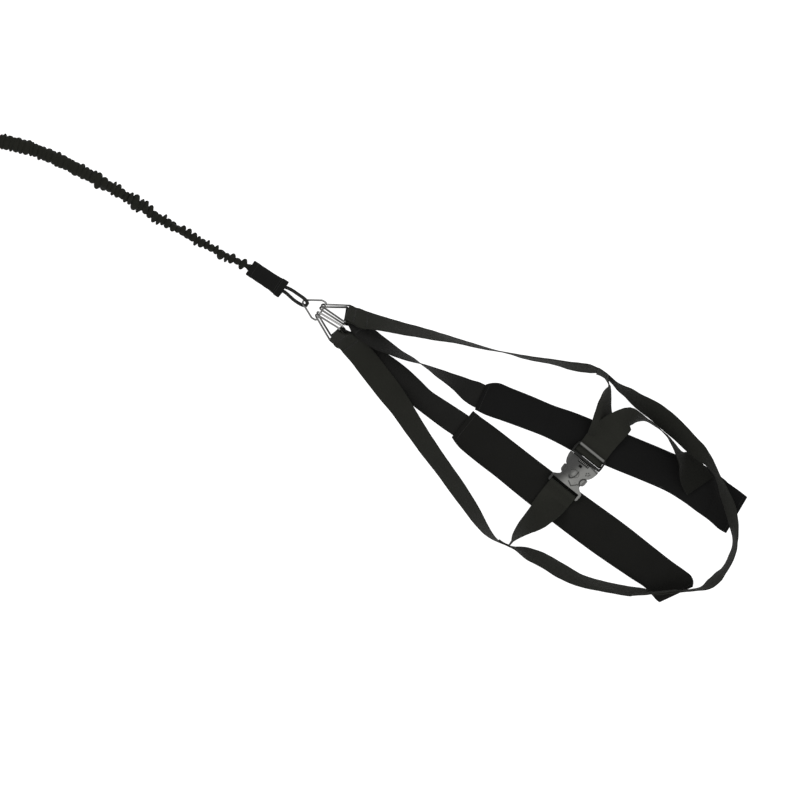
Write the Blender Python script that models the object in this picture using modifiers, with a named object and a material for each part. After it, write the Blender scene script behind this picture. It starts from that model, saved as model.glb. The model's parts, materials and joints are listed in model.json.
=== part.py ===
"""Resistance band harness: padded shoulder harness of flat webbing, four wire
rings on a wire link, and a long elastic band in a gathered sleeve.

Built in metres, Z up, lying on the floor plane z = 0.  Plan positions are
laid out on a 1.6 mm grid whose second axis runs down the layout (G below).
"""
import math

import bpy
from mathutils import Vector

# ---------------------------------------------------------------- dimensions
GRID = 0.0016              # layout grid
GRID_X0 = 496.5            # grid column of the origin
GRID_Y0 = 433.7           # grid row of the origin
MM = 0.001

WEB_WIDTH = 0.040          # side and shoulder webbing
CHEST_WIDTH = 0.050        # chest webbing
WEB_THICK = 0.0015
FIT = 0.0003               # clearance between touching pieces
FLOOR_GAP = 0.0006

WIRE = 0.0032              # ring and link wire
RING_BASE = 0.0476         # ring base between its sharp corners
RING_REACH = 0.040         # link bar centre to ring base bar centre
LOOP_R = WIRE / 2 + FIT + WEB_THICK / 2
SEWN_BACK = 0.035          # webbing sewn back on itself behind a bar

PAD_HEIGHT = 0.011
COVER_THICK = 0.001

CORD_LOOP_D = 0.0056
BAND_LENGTH = 2.0          # whole elastic band, boot to boot
BAND_D = 0.024
COIL_R = 0.1335            # middle of the turns of the coiled rest of the band

# buckle, in its own frame: u from the fixed bar to the ladder bars,
# v across, z up
BUCKLE_C = (565.0, 485.6)  # fixed bar centre line crosses the buckle axis
BUCKLE_Z = 0.0114
BUCKLE_H = 0.0134

PI = math.pi
MATS = {}
COLL = bpy.data.collections.new("resistance_band_harness")
CUT = bpy.data.collections.new("cutters")


def clear_scene():
    for ob in list(bpy.data.objects):
        bpy.data.objects.remove(ob, do_unlink=True)
    bpy.context.scene.collection.children.link(COLL)
    bpy.context.scene.collection.children.link(CUT)


def G(x, y, z=0.0):
    return Vector(((x - GRID_X0) * GRID, (GRID_Y0 - y) * GRID, z))


def material(name, rgb, rough, metal=0.0):
    mat = bpy.data.materials.new("mat_" + name)
    mat.use_nodes = True
    bsdf = mat.node_tree.nodes["Principled BSDF"]
    bsdf.inputs["Base Color"].default_value = (*rgb, 1.0)
    bsdf.inputs["Roughness"].default_value = rough
    bsdf.inputs["Metallic"].default_value = metal
    return mat


LOOK = {
    "webbing": ((0.017, 0.017, 0.014), 0.85, 0.0),
    "pad": ((0.010, 0.010, 0.010), 0.9, 0.0),
    "foam": ((0.05, 0.05, 0.05), 0.95, 0.0),
    "steel": ((0.62, 0.62, 0.60), 0.25, 1.0),
    "band": ((0.016, 0.016, 0.015), 0.9, 0.0),
    "boot": ((0.012, 0.012, 0.012), 0.6, 0.0),
    "cord": ((0.012, 0.012, 0.012), 0.7, 0.0),
    "buckle": ((0.06, 0.06, 0.056), 0.4, 0.0),
}


def add_mesh(name, verts, faces, look, origin=Vector((0, 0, 0)), coll=None):
    me = bpy.data.meshes.new(name)
    me.from_pydata([tuple(Vector(v) - origin) for v in verts], [], faces)
    me.update()
    ob = bpy.data.objects.new(name, me)
    ob.location = origin
    (coll or COLL).objects.link(ob)
    if look:
        rgb, rough, metal = LOOK[look]
        me.materials.append(material(name, rgb, rough, metal))
    return ob


# ------------------------------------------------------------------- splines
def smooth(rows, step):
    """Rows (x, y, channel, ...) in metres -> evenly spaced smooth rows.

    Plan positions follow a cubic through the rows; the other channels are
    monotone between rows, so a roll or a height never overshoots.
    """
    n = len(rows)
    width = len(rows[0])
    h = [max(1e-6, math.hypot(rows[i + 1][0] - rows[i][0],
                              rows[i + 1][1] - rows[i][1]))
         for i in range(n - 1)]
    slope = [[(rows[i + 1][c] - rows[i][c]) / h[i] for c in range(width)]
             for i in range(n - 1)]
    tang = []
    for i in range(n):
        row = []
        for c in range(width):
            if i == 0:
                row.append(slope[0][c])
            elif i == n - 1:
                row.append(slope[-1][c])
            else:
                a, b = slope[i - 1][c], slope[i][c]
                if c < 2:
                    row.append((a * h[i] + b * h[i - 1]) / (h[i] + h[i - 1]))
                elif a * b <= 0:
                    row.append(0.0)
                else:
                    row.append(2 * a * b / (a + b))
        tang.append(row)
    out = []
    for i in range(n - 1):
        count = max(1, int(round(h[i] / step)))
        for k in range(count + (1 if i == n - 2 else 0)):
            t = k / count
            t2, t3 = t * t, t * t * t
            out.append([(2 * t3 - 3 * t2 + 1) * rows[i][c]
                        + (t3 - 2 * t2 + t) * h[i] * tang[i][c]
                        + (3 * t2 - 2 * t3) * rows[i + 1][c]
                        + (t3 - t2) * h[i] * tang[i + 1][c]
                        for c in range(width)])
    return out


def frames(stations, width, step=0.006):
    """Stations (grid x, grid y, roll degrees, height of the support in mm).

    The lower edge of the webbing stands on its support.  Returns frames
    (centre, width vector, face normal).
    """
    rows = []
    for s in stations:
        p = G(s[0], s[1])
        rows.append((p.x, p.y, math.radians(s[2]), s[3] * MM))
    rows = smooth(rows, step)
    pts = []
    for x, y, roll, base in rows:
        z = (base + FLOOR_GAP + width / 2 * abs(math.sin(roll))
             + WEB_THICK / 2 * abs(math.cos(roll)))
        pts.append(Vector((x, y, z)))
    out = []
    for i, p in enumerate(pts):
        a = pts[max(0, i - 1)]
        b = pts[min(len(pts) - 1, i + 1)]
        t = (b - a).normalized()
        flat = Vector((t.x, t.y, 0)).normalized()
        left = Vector((-flat.y, flat.x, 0))
        roll = rows[i][2]
        w = math.cos(roll) * left + math.sin(roll) * Vector((0, 0, 1))
        w = (w - w.dot(t) * t).normalized()
        out.append((p, w, t.cross(w).normalized()))
    return out


def support_for(z, roll_deg, width):
    """Support height in mm that puts the centre of the webbing at z."""
    r = math.radians(roll_deg)
    return (z - FLOOR_GAP - width / 2 * abs(math.sin(r))
            - WEB_THICK / 2 * abs(math.cos(r))) / MM


def strip(name, fr, width, look="webbing", origin=Vector((0, 0, 0))):
    """Webbing: an open strip over the frames, thickened evenly."""
    verts, faces = [], []
    for p, w, _ in fr:
        verts += [p - w * width / 2, p + w * width / 2]
    for i in range(len(fr) - 1):
        a = 2 * i
        faces.append((a, a + 2, a + 3, a + 1))
    ob = add_mesh(name, verts, faces, look, origin)
    mod = ob.modifiers.new("thickness", "SOLIDIFY")
    mod.thickness = WEB_THICK
    mod.offset = 0.0
    mod.use_even_offset = True
    return ob


def dist_along(fr):
    d = [0.0]
    for i in range(1, len(fr)):
        d.append(d[-1] + (fr[i][0] - fr[i - 1][0]).length)
    return d


def ring_end(fr, radius=LOOP_R, back=SEWN_BACK, flip=1.0, half=None):
    """Wrap the start of a webbing path round a bar that stands at its first
    frame: sewn-back layer, turn round the bar, then the path itself."""
    lay = WEB_THICK / 2 + FIT / 2
    d = dist_along(fr)

    def off(s):
        k = max(0.0, 1.0 - s / 0.011)
        k = k * k * (3 - 2 * k)
        return lay + (radius - lay) * k

    p0, w0, n0 = fr[0]
    t0 = (fr[1][0] - fr[0][0]).normalized()
    tail = [(p - n * off(s) * flip, w, n)
            for (p, w, n), s in zip(fr, d) if s <= back]
    tail.reverse()
    turn = []
    for k in range(1, 8):
        a = PI * k / 8
        turn.append((p0 - n0 * flip * radius * math.cos(a)
                     - t0 * radius * math.sin(a), w0, n0))
    main = [(p + n * off(s) * flip, w, n) for (p, w, n), s in zip(fr, d)]
    return tail + turn + main


# -------------------------------------------------------------------- wires
def wire(name, pts, d, look, origin=Vector((0, 0, 0)), closed=False,
         radii=None, res=2):
    cu = bpy.data.curves.new(name, "CURVE")
    cu.dimensions = "3D"
    cu.resolution_u = 1
    cu.render_resolution_u = 0
    cu.bevel_depth = d / 2
    cu.bevel_resolution = res
    cu.use_fill_caps = not closed
    sp = cu.splines.new("POLY")
    sp.points.add(len(pts) - 1)
    for i, p in enumerate(pts):
        q = Vector(p) - origin
        sp.points[i].co = (q.x, q.y, q.z, 1.0)
        sp.points[i].radius = radii[i] if radii else 1.0
    sp.use_cyclic_u = closed
    ob = bpy.data.objects.new(name, cu)
    ob.location = origin
    COLL.objects.link(ob)
    rgb, rough, metal = LOOK[look]
    cu.materials.append(material(name, rgb, rough, metal))
    return ob


def rounded(corners, radii, seg=5):
    """Closed polygon in space with rounded corners."""
    out = []
    n = len(corners)
    for i in range(n):
        a, b, c = corners[i - 1], corners[i], corners[(i + 1) % n]
        u, v = (a - b).normalized(), (c - b).normalized()
        half = math.acos(max(-1, min(1, u.dot(v)))) / 2
        r = radii[i]
        cut = r / math.tan(half)
        mid = (u + v).normalized()
        centre = b + mid * (r / math.sin(half))
        s, e = b + u * cut - centre, b + v * cut - centre
        total = math.acos(max(-1, min(1, s.dot(e) / r / r)))
        axis = s.cross(e).normalized()
        side = axis.cross(s)
        for k in range(seg + 1):
            t = total * k / seg
            out.append(centre + s * math.cos(t) + side * math.sin(t))
    return out


def densify(pts, closed, longest):
    out = []
    n = len(pts)
    for i in range(n if closed else n - 1):
        a, b = pts[i], pts[(i + 1) % n]
        m = max(1, int(math.ceil((b - a).length / longest)))
        for k in range(m):
            out.append(a.lerp(b, k / m))
    if not closed:
        out.append(pts[-1])
    return out


# ------------------------------------------------------------------- sleeves
def oval(mid, side, half_w, z0, z1, power=5.0, n=20):
    """Flat rounded section between heights z0 and z1."""
    out = []
    zc, hz = (z0 + z1) / 2, (z1 - z0) / 2
    hz /= math.cos(PI / n) ** (2 / power)
    for k in range(n):
        a = 2 * PI * (k + 0.5) / n
        c, s = math.cos(a), math.sin(a)
        c = math.copysign(abs(c) ** (2 / power), c)
        s = math.copysign(abs(s) ** (2 / power), s)
        p = mid + side * half_w * c
        out.append(Vector((p.x, p.y, zc + hz * s)))
    return out


def skin(rings, capped):
    n = len(rings[0])
    verts = [v for r in rings for v in r]
    faces = []
    for i in range(len(rings) - 1):
        for k in range(n):
            a, b = i * n + k, i * n + (k + 1) % n
            faces.append((a, b, b + n, a + n))
    if capped:
        faces.append(tuple(range(n - 1, -1, -1)))
        last = (len(rings) - 1) * n
        faces.append(tuple(last + k for k in range(n)))
    return verts, faces


def prism(name, outline, z0, z1, place, look, coll=None, origin=None):
    """Straight-sided solid over a plan outline (counter-clockwise)."""
    n = len(outline)
    verts = [place(u, v, z0) for u, v in outline] \
        + [place(u, v, z1) for u, v in outline]
    faces = [tuple(range(n - 1, -1, -1)), tuple(n + k for k in range(n))]
    for k in range(n):
        a, b = k, (k + 1) % n
        faces.append((a, b, b + n, a + n))
    return add_mesh(name, verts, faces, look, origin or Vector((0, 0, 0)),
                    coll)


def cut(ob, cutter, kind="DIFFERENCE"):
    cutter.hide_render = True
    cutter.display_type = "WIRE"
    mod = ob.modifiers.new("cut_" + cutter.name, "BOOLEAN")
    mod.operation = kind
    mod.solver = "EXACT"
    mod.object = cutter


# ------------------------------------------------------- rings on their link
S_DIR = Vector((-0.513, -0.858, 0.0)).normalized()   # across the ring fan
T_DIR = Vector((0.858, -0.513, 0.0)).normalized()    # from link to webbing
FAN_ORIGIN = G(352.0, 306.0)
LINK_MID = G(321.5, 311.75, 0.0245)

# apex offset along the link bar, base middle (across, height), roll
RINGS = [
    ("ring_1", -0.0102, 0.0140, 0.0262, -52.5),
    ("ring_2", -0.0051, 0.0186, 0.0198, -52.5),
    ("ring_3", 0.0052, 0.0474, 0.0215, 59.0),
    ("ring_4", 0.0103, 0.0538, 0.0278, 59.0),
]


def ring_frame(spec):
    """Apex point on the link bar, base middle, axis, base direction."""
    _, apex_s, base_s, base_z, roll = spec
    apex = LINK_MID + S_DIR * apex_s
    flat = (apex - FAN_ORIGIN)
    s_a, t_a = flat.dot(S_DIR), flat.dot(T_DIR)
    ds, dz = base_s - s_a, base_z - apex.z
    dt = math.sqrt(RING_REACH ** 2 - ds * ds - dz * dz)
    base = apex + S_DIR * ds + T_DIR * dt + Vector((0, 0, dz))
    axis = (base - apex).normalized()
    flat = Vector((axis.x, axis.y, 0)).normalized()
    left = Vector((-flat.y, flat.x, 0))
    r = math.radians(roll)
    w = math.cos(r) * left + math.sin(r) * Vector((0, 0, 1))
    w = (w - w.dot(axis) * axis).normalized()
    return apex, base, axis, w


def build_rings():
    for spec in RINGS:
        apex, base, axis, w = ring_frame(spec)
        r_apex = 0.0037
        tip = apex - axis * 0.0098
        pts = rounded([tip, base + w * RING_BASE / 2,
                       base - w * RING_BASE / 2],
                      [r_apex, 0.0022, 0.0022], seg=6)
        pts = densify(pts, True, 0.009)
        wire(spec[0], pts, WIRE, "steel", origin=base, closed=True)


LINK_APEX = G(300.8, 300.0, 0.0122)
LINK_BASE = 0.0326         # base bar, middle of wire to middle of wire


def build_link():
    """Long narrow wire link; its base bar carries the rings."""
    end = S_DIR * LINK_BASE / 2
    back = (LINK_MID - LINK_APEX).normalized() * 0.0085
    pts = rounded([LINK_APEX, LINK_MID - end - back, LINK_MID - end,
                   LINK_MID + end, LINK_MID + end - back],
                  [0.0040, 0.0060, 0.0022, 0.0022, 0.0060], seg=4)
    pts = densify(pts, True, 0.009)
    wire("ring_link", pts, WIRE, "steel", origin=LINK_MID, closed=True)


# ------------------------------------------------------------------ webbing
def ring_station(i):
    """Webbing station at the middle of a ring's base bar."""
    _, base, _, _ = ring_frame(RINGS[i])
    roll = RINGS[i][4]
    return (base.x / GRID + GRID_X0, GRID_Y0 - base.y / GRID, roll,
            support_for(base.z, roll, WEB_WIDTH))


def strap_start(i, dist=4.0):
    """Second station: a little further along the ring's own axis."""
    _, base, axis, _ = ring_frame(RINGS[i])
    p = base + axis * dist * GRID
    roll = RINGS[i][4]
    return (p.x / GRID + GRID_X0, GRID_Y0 - p.y / GRID, roll,
            support_for(p.z, roll, WEB_WIDTH))


SIDE_UPPER = [
    (362, 319.3, -46, 7.4), (375, 322.6, -51, 4.0), (390, 326.2, -56, 1.5),
    (402, 329.2, -60, 0), (420, 333, -65, 0), (440, 337.7, -71, 0),
    (460, 342.3, -78, 0), (480, 347.6, -83, 0), (504, 352.8, -90, 0),
    (529, 358.5, -97, 0), (555, 362.8, -103, 0), (569.5, 366.2, -107, 0),
    (580, 368.1, -110, 0), (588, 369.2, -110, 0), (597, 371.2, -102, 0),
    (603, 374.2, -99, 0), (608, 378, -98, 0), (612.5, 382.4, -98, 0),
    (620, 388.5, -106, 0), (629, 394, -115, 0), (636, 399.5, -121, 0),
    (645, 405.5, -130, 0), (655, 412, -136, 1), (665, 420, -138, 5),
    (678, 432, -134, 12), (690, 444, -132, 17.5), (700, 453.3, -124, 19.0),
    (706.5, 460.5, -112, 19.5), (711.5, 468, -104, 19), (716, 476, -99, 18),
    (721.2, 487, -103, 14), (725.0, 497, -110, 9), (729.6, 510, -113, 5.5),
    (732.4, 522, -110, 4.5), (733.4, 532, -104, 3), (733.8, 541.5, -98, 0.5),
    (732.6, 549.5, -99, 0), (730.0, 557, -101, 0), (727.0, 563.5, -101, 0),
    (722.8, 569.8, -102, 0), (717, 576.3, -109, 0), (710.4, 582.3, -109, 0),
    (704.6, 586.4, -101, 0), (699, 588.2, -94, 0), (692, 589.2, -92, 2.4),
    (684, 590.0, -92, 4.2), (677, 590.8, -92, 5.2), (668, 591.8, -92, 6.4),
    (658, 592.7, -92, 8.2), (652, 593.2, -92, 8.8),
]

SIDE_LOWER = [
    (346.8, 341.9, 45, 6.3), (352.8, 347.0, 32, 5.5),
    (359.4, 353.2, 18, 4.6), (369.6, 366, 6, 3.4), (384.6, 385.3, 4, 2.2),
    (400, 405.5, 26, 0.6), (413.7, 426, 34, 0), (428.6, 448, 42, 0),
    (444, 468.7, 48, 0), (459.4, 490.5, 51, 0), (474.4, 512.5, 58, 0),
    (482, 524.0, 66, 0), (490, 534.0, 76, 0), (498, 540.6, 86, 0),
    (507, 544.8, 90, 0), (514, 547.2, 94, 0), (521, 549.9, 107, 0),
    (529, 553.4, 118, 0),
    (540, 558, 124, 0), (560, 569.8, 126, 0), (580, 579.6, 119, 0),
    (600, 585.2, 114, 0), (620, 589.0, 112, 0), (633, 590.8, 110, 0),
    (639, 591.5, 104, 5.0), (645, 592.0, 97, 10.6), (650, 591.9, 93, 10.6),
    (658, 591.35, 92, 8.8),
    (668, 590.4, 92, 6.4), (677, 589.4, 92, 5.2),
]

SHOULDER_UPPER = [
    (362, 332.0, -50, 4.0), (370, 337.2, -49, 4.0), (378, 342.8, -52, 3.4),
    (389, 348.8, -62, 2.0), (400, 354.9, -71, 0.8), (411, 359.9, -78, 0),
    (421, 364.6, -90, 0), (430, 369, -99, 0), (439.7, 374.3, -110, 0),
    (449.6, 379.4, -119, 0), (459.5, 384.6, -132, 0),
    (467, 389.2, -147, 0.6), (473.5, 392.8, -166, 2.4),
    (479.5, 395.9, -178, 3.8), (485, 398.1, -180, 5.2),
    (490, 399.8, -180, 8.0), (497, 401.9, -180, 8.0),
    (512, 407.2, -180, 8.0), (535, 415.8, -180, 8.0),
]

SHOULDER_LOWER = [
    (345.5, 338.4, 36, 2.5), (353, 344.4, 14, 0.8), (364, 352.7, 3, 0),
    (379, 363.0, 2, 0), (396.5, 375.6, 4, 0), (411, 387.9, 16, 0),
    (425, 400.4, 25, 0), (434.7, 407.4, 20, 0), (444, 414, 12, 0.2),
    (452, 419.6, 4, 1.0), (458, 423.6, 0, 2.0), (463.5, 427.6, 0, 3.6),
    (468.5, 431.4, 0, 6.2), (475, 436.4, 0, 6.2), (492, 449, 0, 6.2),
    (509, 462.2, 0, 6.2),
]


def true_start(fr, i):
    """Make the first frames lie exactly in the plane of their ring."""
    _, base, axis, w = ring_frame(RINGS[i])
    out = []
    for p, w1, n1 in fr:
        d = (p - base).length
        if d < 0.0068:
            out.append((base + axis * d, w, axis.cross(w).normalized()))
        else:
            out.append((p, w1, n1))
    return out


def build_side_straps():
    up = frames([ring_station(0), strap_start(0, 2), strap_start(0, 5)]
                + SIDE_UPPER, WEB_WIDTH)
    strip("side_strap_upper", ring_end(true_start(up, 0)), WEB_WIDTH)
    low = frames([ring_station(3), strap_start(3, 2), strap_start(3, 4)]
                 + SIDE_LOWER, WEB_WIDTH)
    strip("side_strap_lower", ring_end(true_start(low, 3)), WEB_WIDTH)
    su = frames([ring_station(1), strap_start(1, 2), strap_start(1, 5)]
                + SHOULDER_UPPER,
                WEB_WIDTH)
    strip("shoulder_strap_upper", ring_end(true_start(su, 1)), WEB_WIDTH)
    sl = frames([ring_station(2), strap_start(2, 2), strap_start(2, 4)]
                + SHOULDER_LOWER,
                WEB_WIDTH)
    strip("shoulder_strap_lower", ring_end(true_start(sl, 2)), WEB_WIDTH)
    return up, low


# ------------------------------------------------------------ shoulder pads
# (upper edge x, y, lower edge x, y, height mm, foam inside)
PAD_UPPER = [
    (486.0, 384.4, 474.6, 409.6, 8.6), (490.5, 383.2, 478.2, 411.4, 10.2),
    (497.5, 382.9, 484.5, 414.6, 11), (510.6, 387.7, 500, 420.2, 11),
    (531, 395.8, 522, 428.0, 11), (555, 406, 543, 436.2, 11),
    (573, 412, 557, 443, 11), (592, 419.5, 576, 453, 11),
    (610, 427, 596, 461.5, 11), (628, 434.5, 613, 468.8, 11),
    (655, 445.5, 641, 480.2, 11), (682, 457, 667, 491.8, 11),
    (701.2, 463.9, 684.5, 502.6, 11), (712.4, 470.4, 695.5, 510.8, 10.6),
    (717.4, 473.8, 702, 515.4, 8.6), (721.6, 477.3, 706.6, 518.6, 4.2),
    (728.6, 483.2, 712.0, 523.0, 3.2), (738.6, 490.2, 718.2, 528.6, 3.1),
    (747.4, 497.0, 726.0, 533.2, 3.0),
]
PAD_LOWER = [
    (473.0, 410.8, 451.6, 437.2, 8.6), (476.6, 413.8, 454.4, 441.6, 10.2),
    (481.4, 417.6, 458.8, 447.2, 11), (486.8, 421.4, 464, 452, 11),
    (502, 432.6, 480, 464.8, 11), (516.9, 444.2, 495.5, 476.6, 11),
    (535, 458.4, 513, 491, 11), (552.1, 471.5, 530.7, 505.2, 11),
    (586, 496.2, 560, 528, 11), (620, 520.9, 595, 554, 11),
    (655, 548, 630, 577.6, 11), (674, 562.8, 644.6, 587.4, 10.8),
    (684.6, 570.4, 649.2, 592.2, 8.8), (691.4, 576.2, 652.9, 596.2, 5.4),
    (693.4, 581.4, 656.2, 600.0, 3.6), (692.8, 586.8, 659.4, 602.4, 3.0),
]


def pad(name, table, foam_from, foam_to, web_to, foam_h=6.0):
    """Sewn sleeve, open at both ends, with its foam inside.

    The foam is thinner over the length where the webbing lies on it.
    """
    rings = []
    for x1, y1, x2, y2, h in table:
        a, b = G(x1, y1), G(x2, y2)
        mid, half = (a + b) / 2, (a - b).length / 2
        rings.append(oval(mid, (a - b).normalized(), half, 0.0, h * MM))
    verts, faces = skin(rings, False)
    ob = add_mesh("pad_cover_" + name, verts, faces, "pad")
    me = ob.data
    mod = ob.modifiers.new("thickness", "SOLIDIFY")
    mod.thickness = COVER_THICK
    mod.offset = -1.0
    mod.use_even_offset = True
    inset = COVER_THICK + FIT + 0.0001
    rings = []
    spans = [i for i in range(len(table)) if foam_from <= i <= foam_to]
    for i in spans:
        x1, y1, x2, y2, h = table[i]
        a, b = G(x1, y1), G(x2, y2)
        mid, half = (a + b) / 2, (a - b).length / 2
        side = (a - b).normalized()
        full = h * MM - inset
        thin = (foam_h + 1.3) * MM
        low = inset
        if i < web_to:
            rings.append(oval(mid, side, half - inset - 0.0006, low,
                              min(thin, full)))
        else:
            rings.append(oval(mid, side, half - inset - 0.0006, low, full))
    verts, faces = skin(rings, True)
    add_mesh("pad_foam_" + name, verts, faces, "foam")
    return ob


# ------------------------------------------------------------ buckle frame
U_DIR = Vector((0.627, 0.778, 0.0)).normalized()
V_DIR = Vector((U_DIR.y, -U_DIR.x, 0.0))
BAR_FIX_U = -0.0069
BAR_FIX_Z = BUCKLE_Z + 0.0068
LADDER_IN = (0.0584, BUCKLE_Z + 0.0064)
LADDER_OUT = (0.0685, BUCKLE_Z + 0.0078)
BAR_R = 0.0018


def B(u, v, z):
    """Buckle frame (metres) -> world."""
    c = G(*BUCKLE_C)
    p = c + U_DIR * u + V_DIR * v
    return Vector((p.x, p.y, z))


def grid_of(p):
    return p.x / GRID + GRID_X0, GRID_Y0 - p.y / GRID


def flat_support(z):
    return support_for(z, 0.0, CHEST_WIDTH)


CHEST_FIXED = [
    (541.3, 513.4, 33, 10.6), (536.3, 518.0, 41, 7.0),
    (531.2, 522.4, 50, 3.0), (526.5, 526.6, 58, 0.6),
    (519.5, 533.0, 71, 0), (514.8, 537.9, 81, 0), (512.6, 541.0, 88, 0),
]
CHEST_UPPER = [
    (601.2, 438.6, 8, 11.6), (603.0, 427, 28, 11.4),
    (603.4, 419.5, 42, 9.0), (603.6, 412.6, 55, 4.5), (605.3, 398.9, 68, 0),
    (607.0, 391.2, 76, 0), (609.0, 386.4, 86, 0),
]
TAIL = [
    (600.6, 441.2, 3, 15.0), (606.5, 434.4, 10, 17.5),
    (612.2, 429.0, 20, 19.5), (617.6, 424.8, 28, 18.5),
    (623.4, 420.6, 38, 15.5), (629.0, 417.6, 50, 11.0),
    (633.4, 417.9, 61, 7.0), (637.6, 417.9, 72, 4.0),
    (642.0, 418.6, 80, 2.5), (646.6, 420.2, 86, 2.0),
    (654.6, 425.2, 88, 2.0), (662.0, 431.4, 92, 2.0),
    (667.4, 436.6, 94, 3.6), (671.6, 442.2, 97, 5.5),
    (676.0, 448.9, 100, 9.0), (680.8, 456.2, 111, 11.7),
    (685.4, 463.6, 132, 12.0), (689.8, 470.8, 150, 12.2),
    (694.4, 478.2, 166, 12.2), (699.6, 486.2, 175, 12.2),
]


def tab(side, x_from, x_to, sign):
    """Sewn end of a chest strap: on the inner face of a side strap, between
    two grid columns, its lower edge level with the side strap's."""
    lay = WEB_THICK / 2 + FIT / 2
    out = []
    for p, w, n in side:
        x = grid_of(p)[0]
        if min(x_from, x_to) <= x <= max(x_from, x_to):
            up = w * sign
            out.append((p - n * lay + up * (CHEST_WIDTH - WEB_WIDTH) / 2,
                        up, n))
    if x_to < x_from:
        out.reverse()
    return out


def near(side, lo, hi, y_lo, y_hi):
    return [f for f in side if lo <= grid_of(f[0])[0] <= hi
            and y_lo <= grid_of(f[0])[1] <= y_hi]


def build_chest_straps(up, low):
    # fixed half: round the fixed bar, over the lower pad, to the side strap
    bar = B(BAR_FIX_U, 0, BAR_FIX_Z)
    rows = []
    for d, z in ((0.0, BAR_FIX_Z), (0.008, BAR_FIX_Z - 0.0022),
                 (0.018, 0.01345), (0.026, 0.0133)):
        g = grid_of(bar - U_DIR * d)
        rows.append((g[0], g[1], 0.0 if d < 0.02 else 8.0,
                     flat_support(z)))
    rows[-1] = (rows[-1][0], rows[-1][1], 9.0, 11.5)
    fr = frames(rows + CHEST_FIXED, CHEST_WIDTH, 0.005)
    body = ring_end(fr, radius=0.0023 + WEB_THICK / 2, back=0.024)
    end = tab(near(low, 497, 509.5, 530, 560), 510, 496, 1.0)
    strip("chest_strap_fixed", body + end, CHEST_WIDTH)

    # adjustable half: side strap, over the upper pad, under both ladder
    # bars, round the inner one, under the outer one, free tail
    g = grid_of(B(0.0800, 0, 0))
    g2 = grid_of(B(0.0740, 0, 0))
    rows = [(g2[0], g2[1], 0, flat_support(0.0126)),
            (g[0], g[1], 1, flat_support(0.0126))]
    fr = frames(rows + CHEST_UPPER, CHEST_WIDTH, 0.005)
    end = tab(near(up, 596.5, 607.5, 360, 390), 608, 596, -1.0)
    path = [(p, -w, n) for p, w, n in reversed(end)]
    path += [(p, -w, n) for p, w, n in reversed(fr)]
    u1, z1 = LADDER_IN
    r = BAR_R + FIT + 0.0001 + WEB_THICK / 2
    for u, z in ((0.0690, 0.0126), (0.0645, 0.0127), (0.0612, 0.0133)):
        path.append((B(u, 0, z), V_DIR, None))
    for k in range(0, 9):
        a = math.radians(-80 - 25 * k)
        path.append((B(u1 + r * math.cos(a), 0, z1 + r * math.sin(a)),
                     V_DIR, None))
    for u, z in ((0.0622, 0.0187), (0.0640, 0.0171), (0.0662, 0.0161),
                 (0.0690, 0.0158), (0.0720, 0.0156)):
        path.append((B(u, 0, z), V_DIR, None))
    g = grid_of(B(0.0760, 0, 0))
    fr = frames([(g[0], g[1], 0, flat_support(0.0156))] + TAIL,
                CHEST_WIDTH, 0.006)
    path += [(p, -w, n) for p, w, n in fr]
    strip("chest_strap_adjust", path, CHEST_WIDTH)


# -------------------------------------------------------------- the buckle
def sym(half):
    """Mirror a half outline (u, v > 0), given from low to high u."""
    right = [(u, v) for u, v in half]
    left = [(u, -v) for u, v in reversed(half)]
    return [(u * MM, v * MM) for u, v in right + left]


SOCKET_HALF = [(-9.2, 27.0), (-7.6, 29.6), (2.5, 29.9), (4.6, 29.2),
               (7.6, 23.8), (11.0, 19.4), (14.0, 18.8), (28.5, 20.2),
               (31.0, 23.4), (36.0, 26.2), (44.0, 28.2), (49.5, 28.4)]
PLUG_HALF = [(49.9, 28.4), (56.0, 28.9), (60.0, 28.7), (67.0, 27.9),
             (69.6, 27.4), (71.2, 26.0)]
HEAD_HALF = [(14.6, 19.2), (16.2, 22.0), (19.0, 23.3), (26.0, 23.6),
             (28.2, 23.0)]


def bar_cutter(name, u0, u1, v0, v1, z0, z1):
    out = [(u0 * MM, v0 * MM), (u1 * MM, v0 * MM),
           (u1 * MM, v1 * MM), (u0 * MM, v1 * MM)]
    ob = prism("cut_" + name, out, z0, z1, B, None, coll=CUT)
    fix_winding(ob)
    return ob


def fix_winding(ob):
    """The buckle frame is left-handed in plan, so turn the faces over."""
    ob.data.flip_normals()


def oval_cutter(name, u, v, ru, rv, z0, z1, n=16):
    out = [((u + ru * math.cos(2 * PI * k / n)) * MM,
            (v + rv * math.sin(2 * PI * k / n)) * MM) for k in range(n)]
    ob = prism("cut_" + name, out, z0, z1, B, None, coll=CUT)
    fix_winding(ob)
    return ob


def bevel(ob, width, seg=1):
    mod = ob.modifiers.new("edges", "BEVEL")
    mod.width = width
    mod.segments = seg
    mod.limit_method = "ANGLE"
    mod.angle_limit = math.radians(40)


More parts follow.
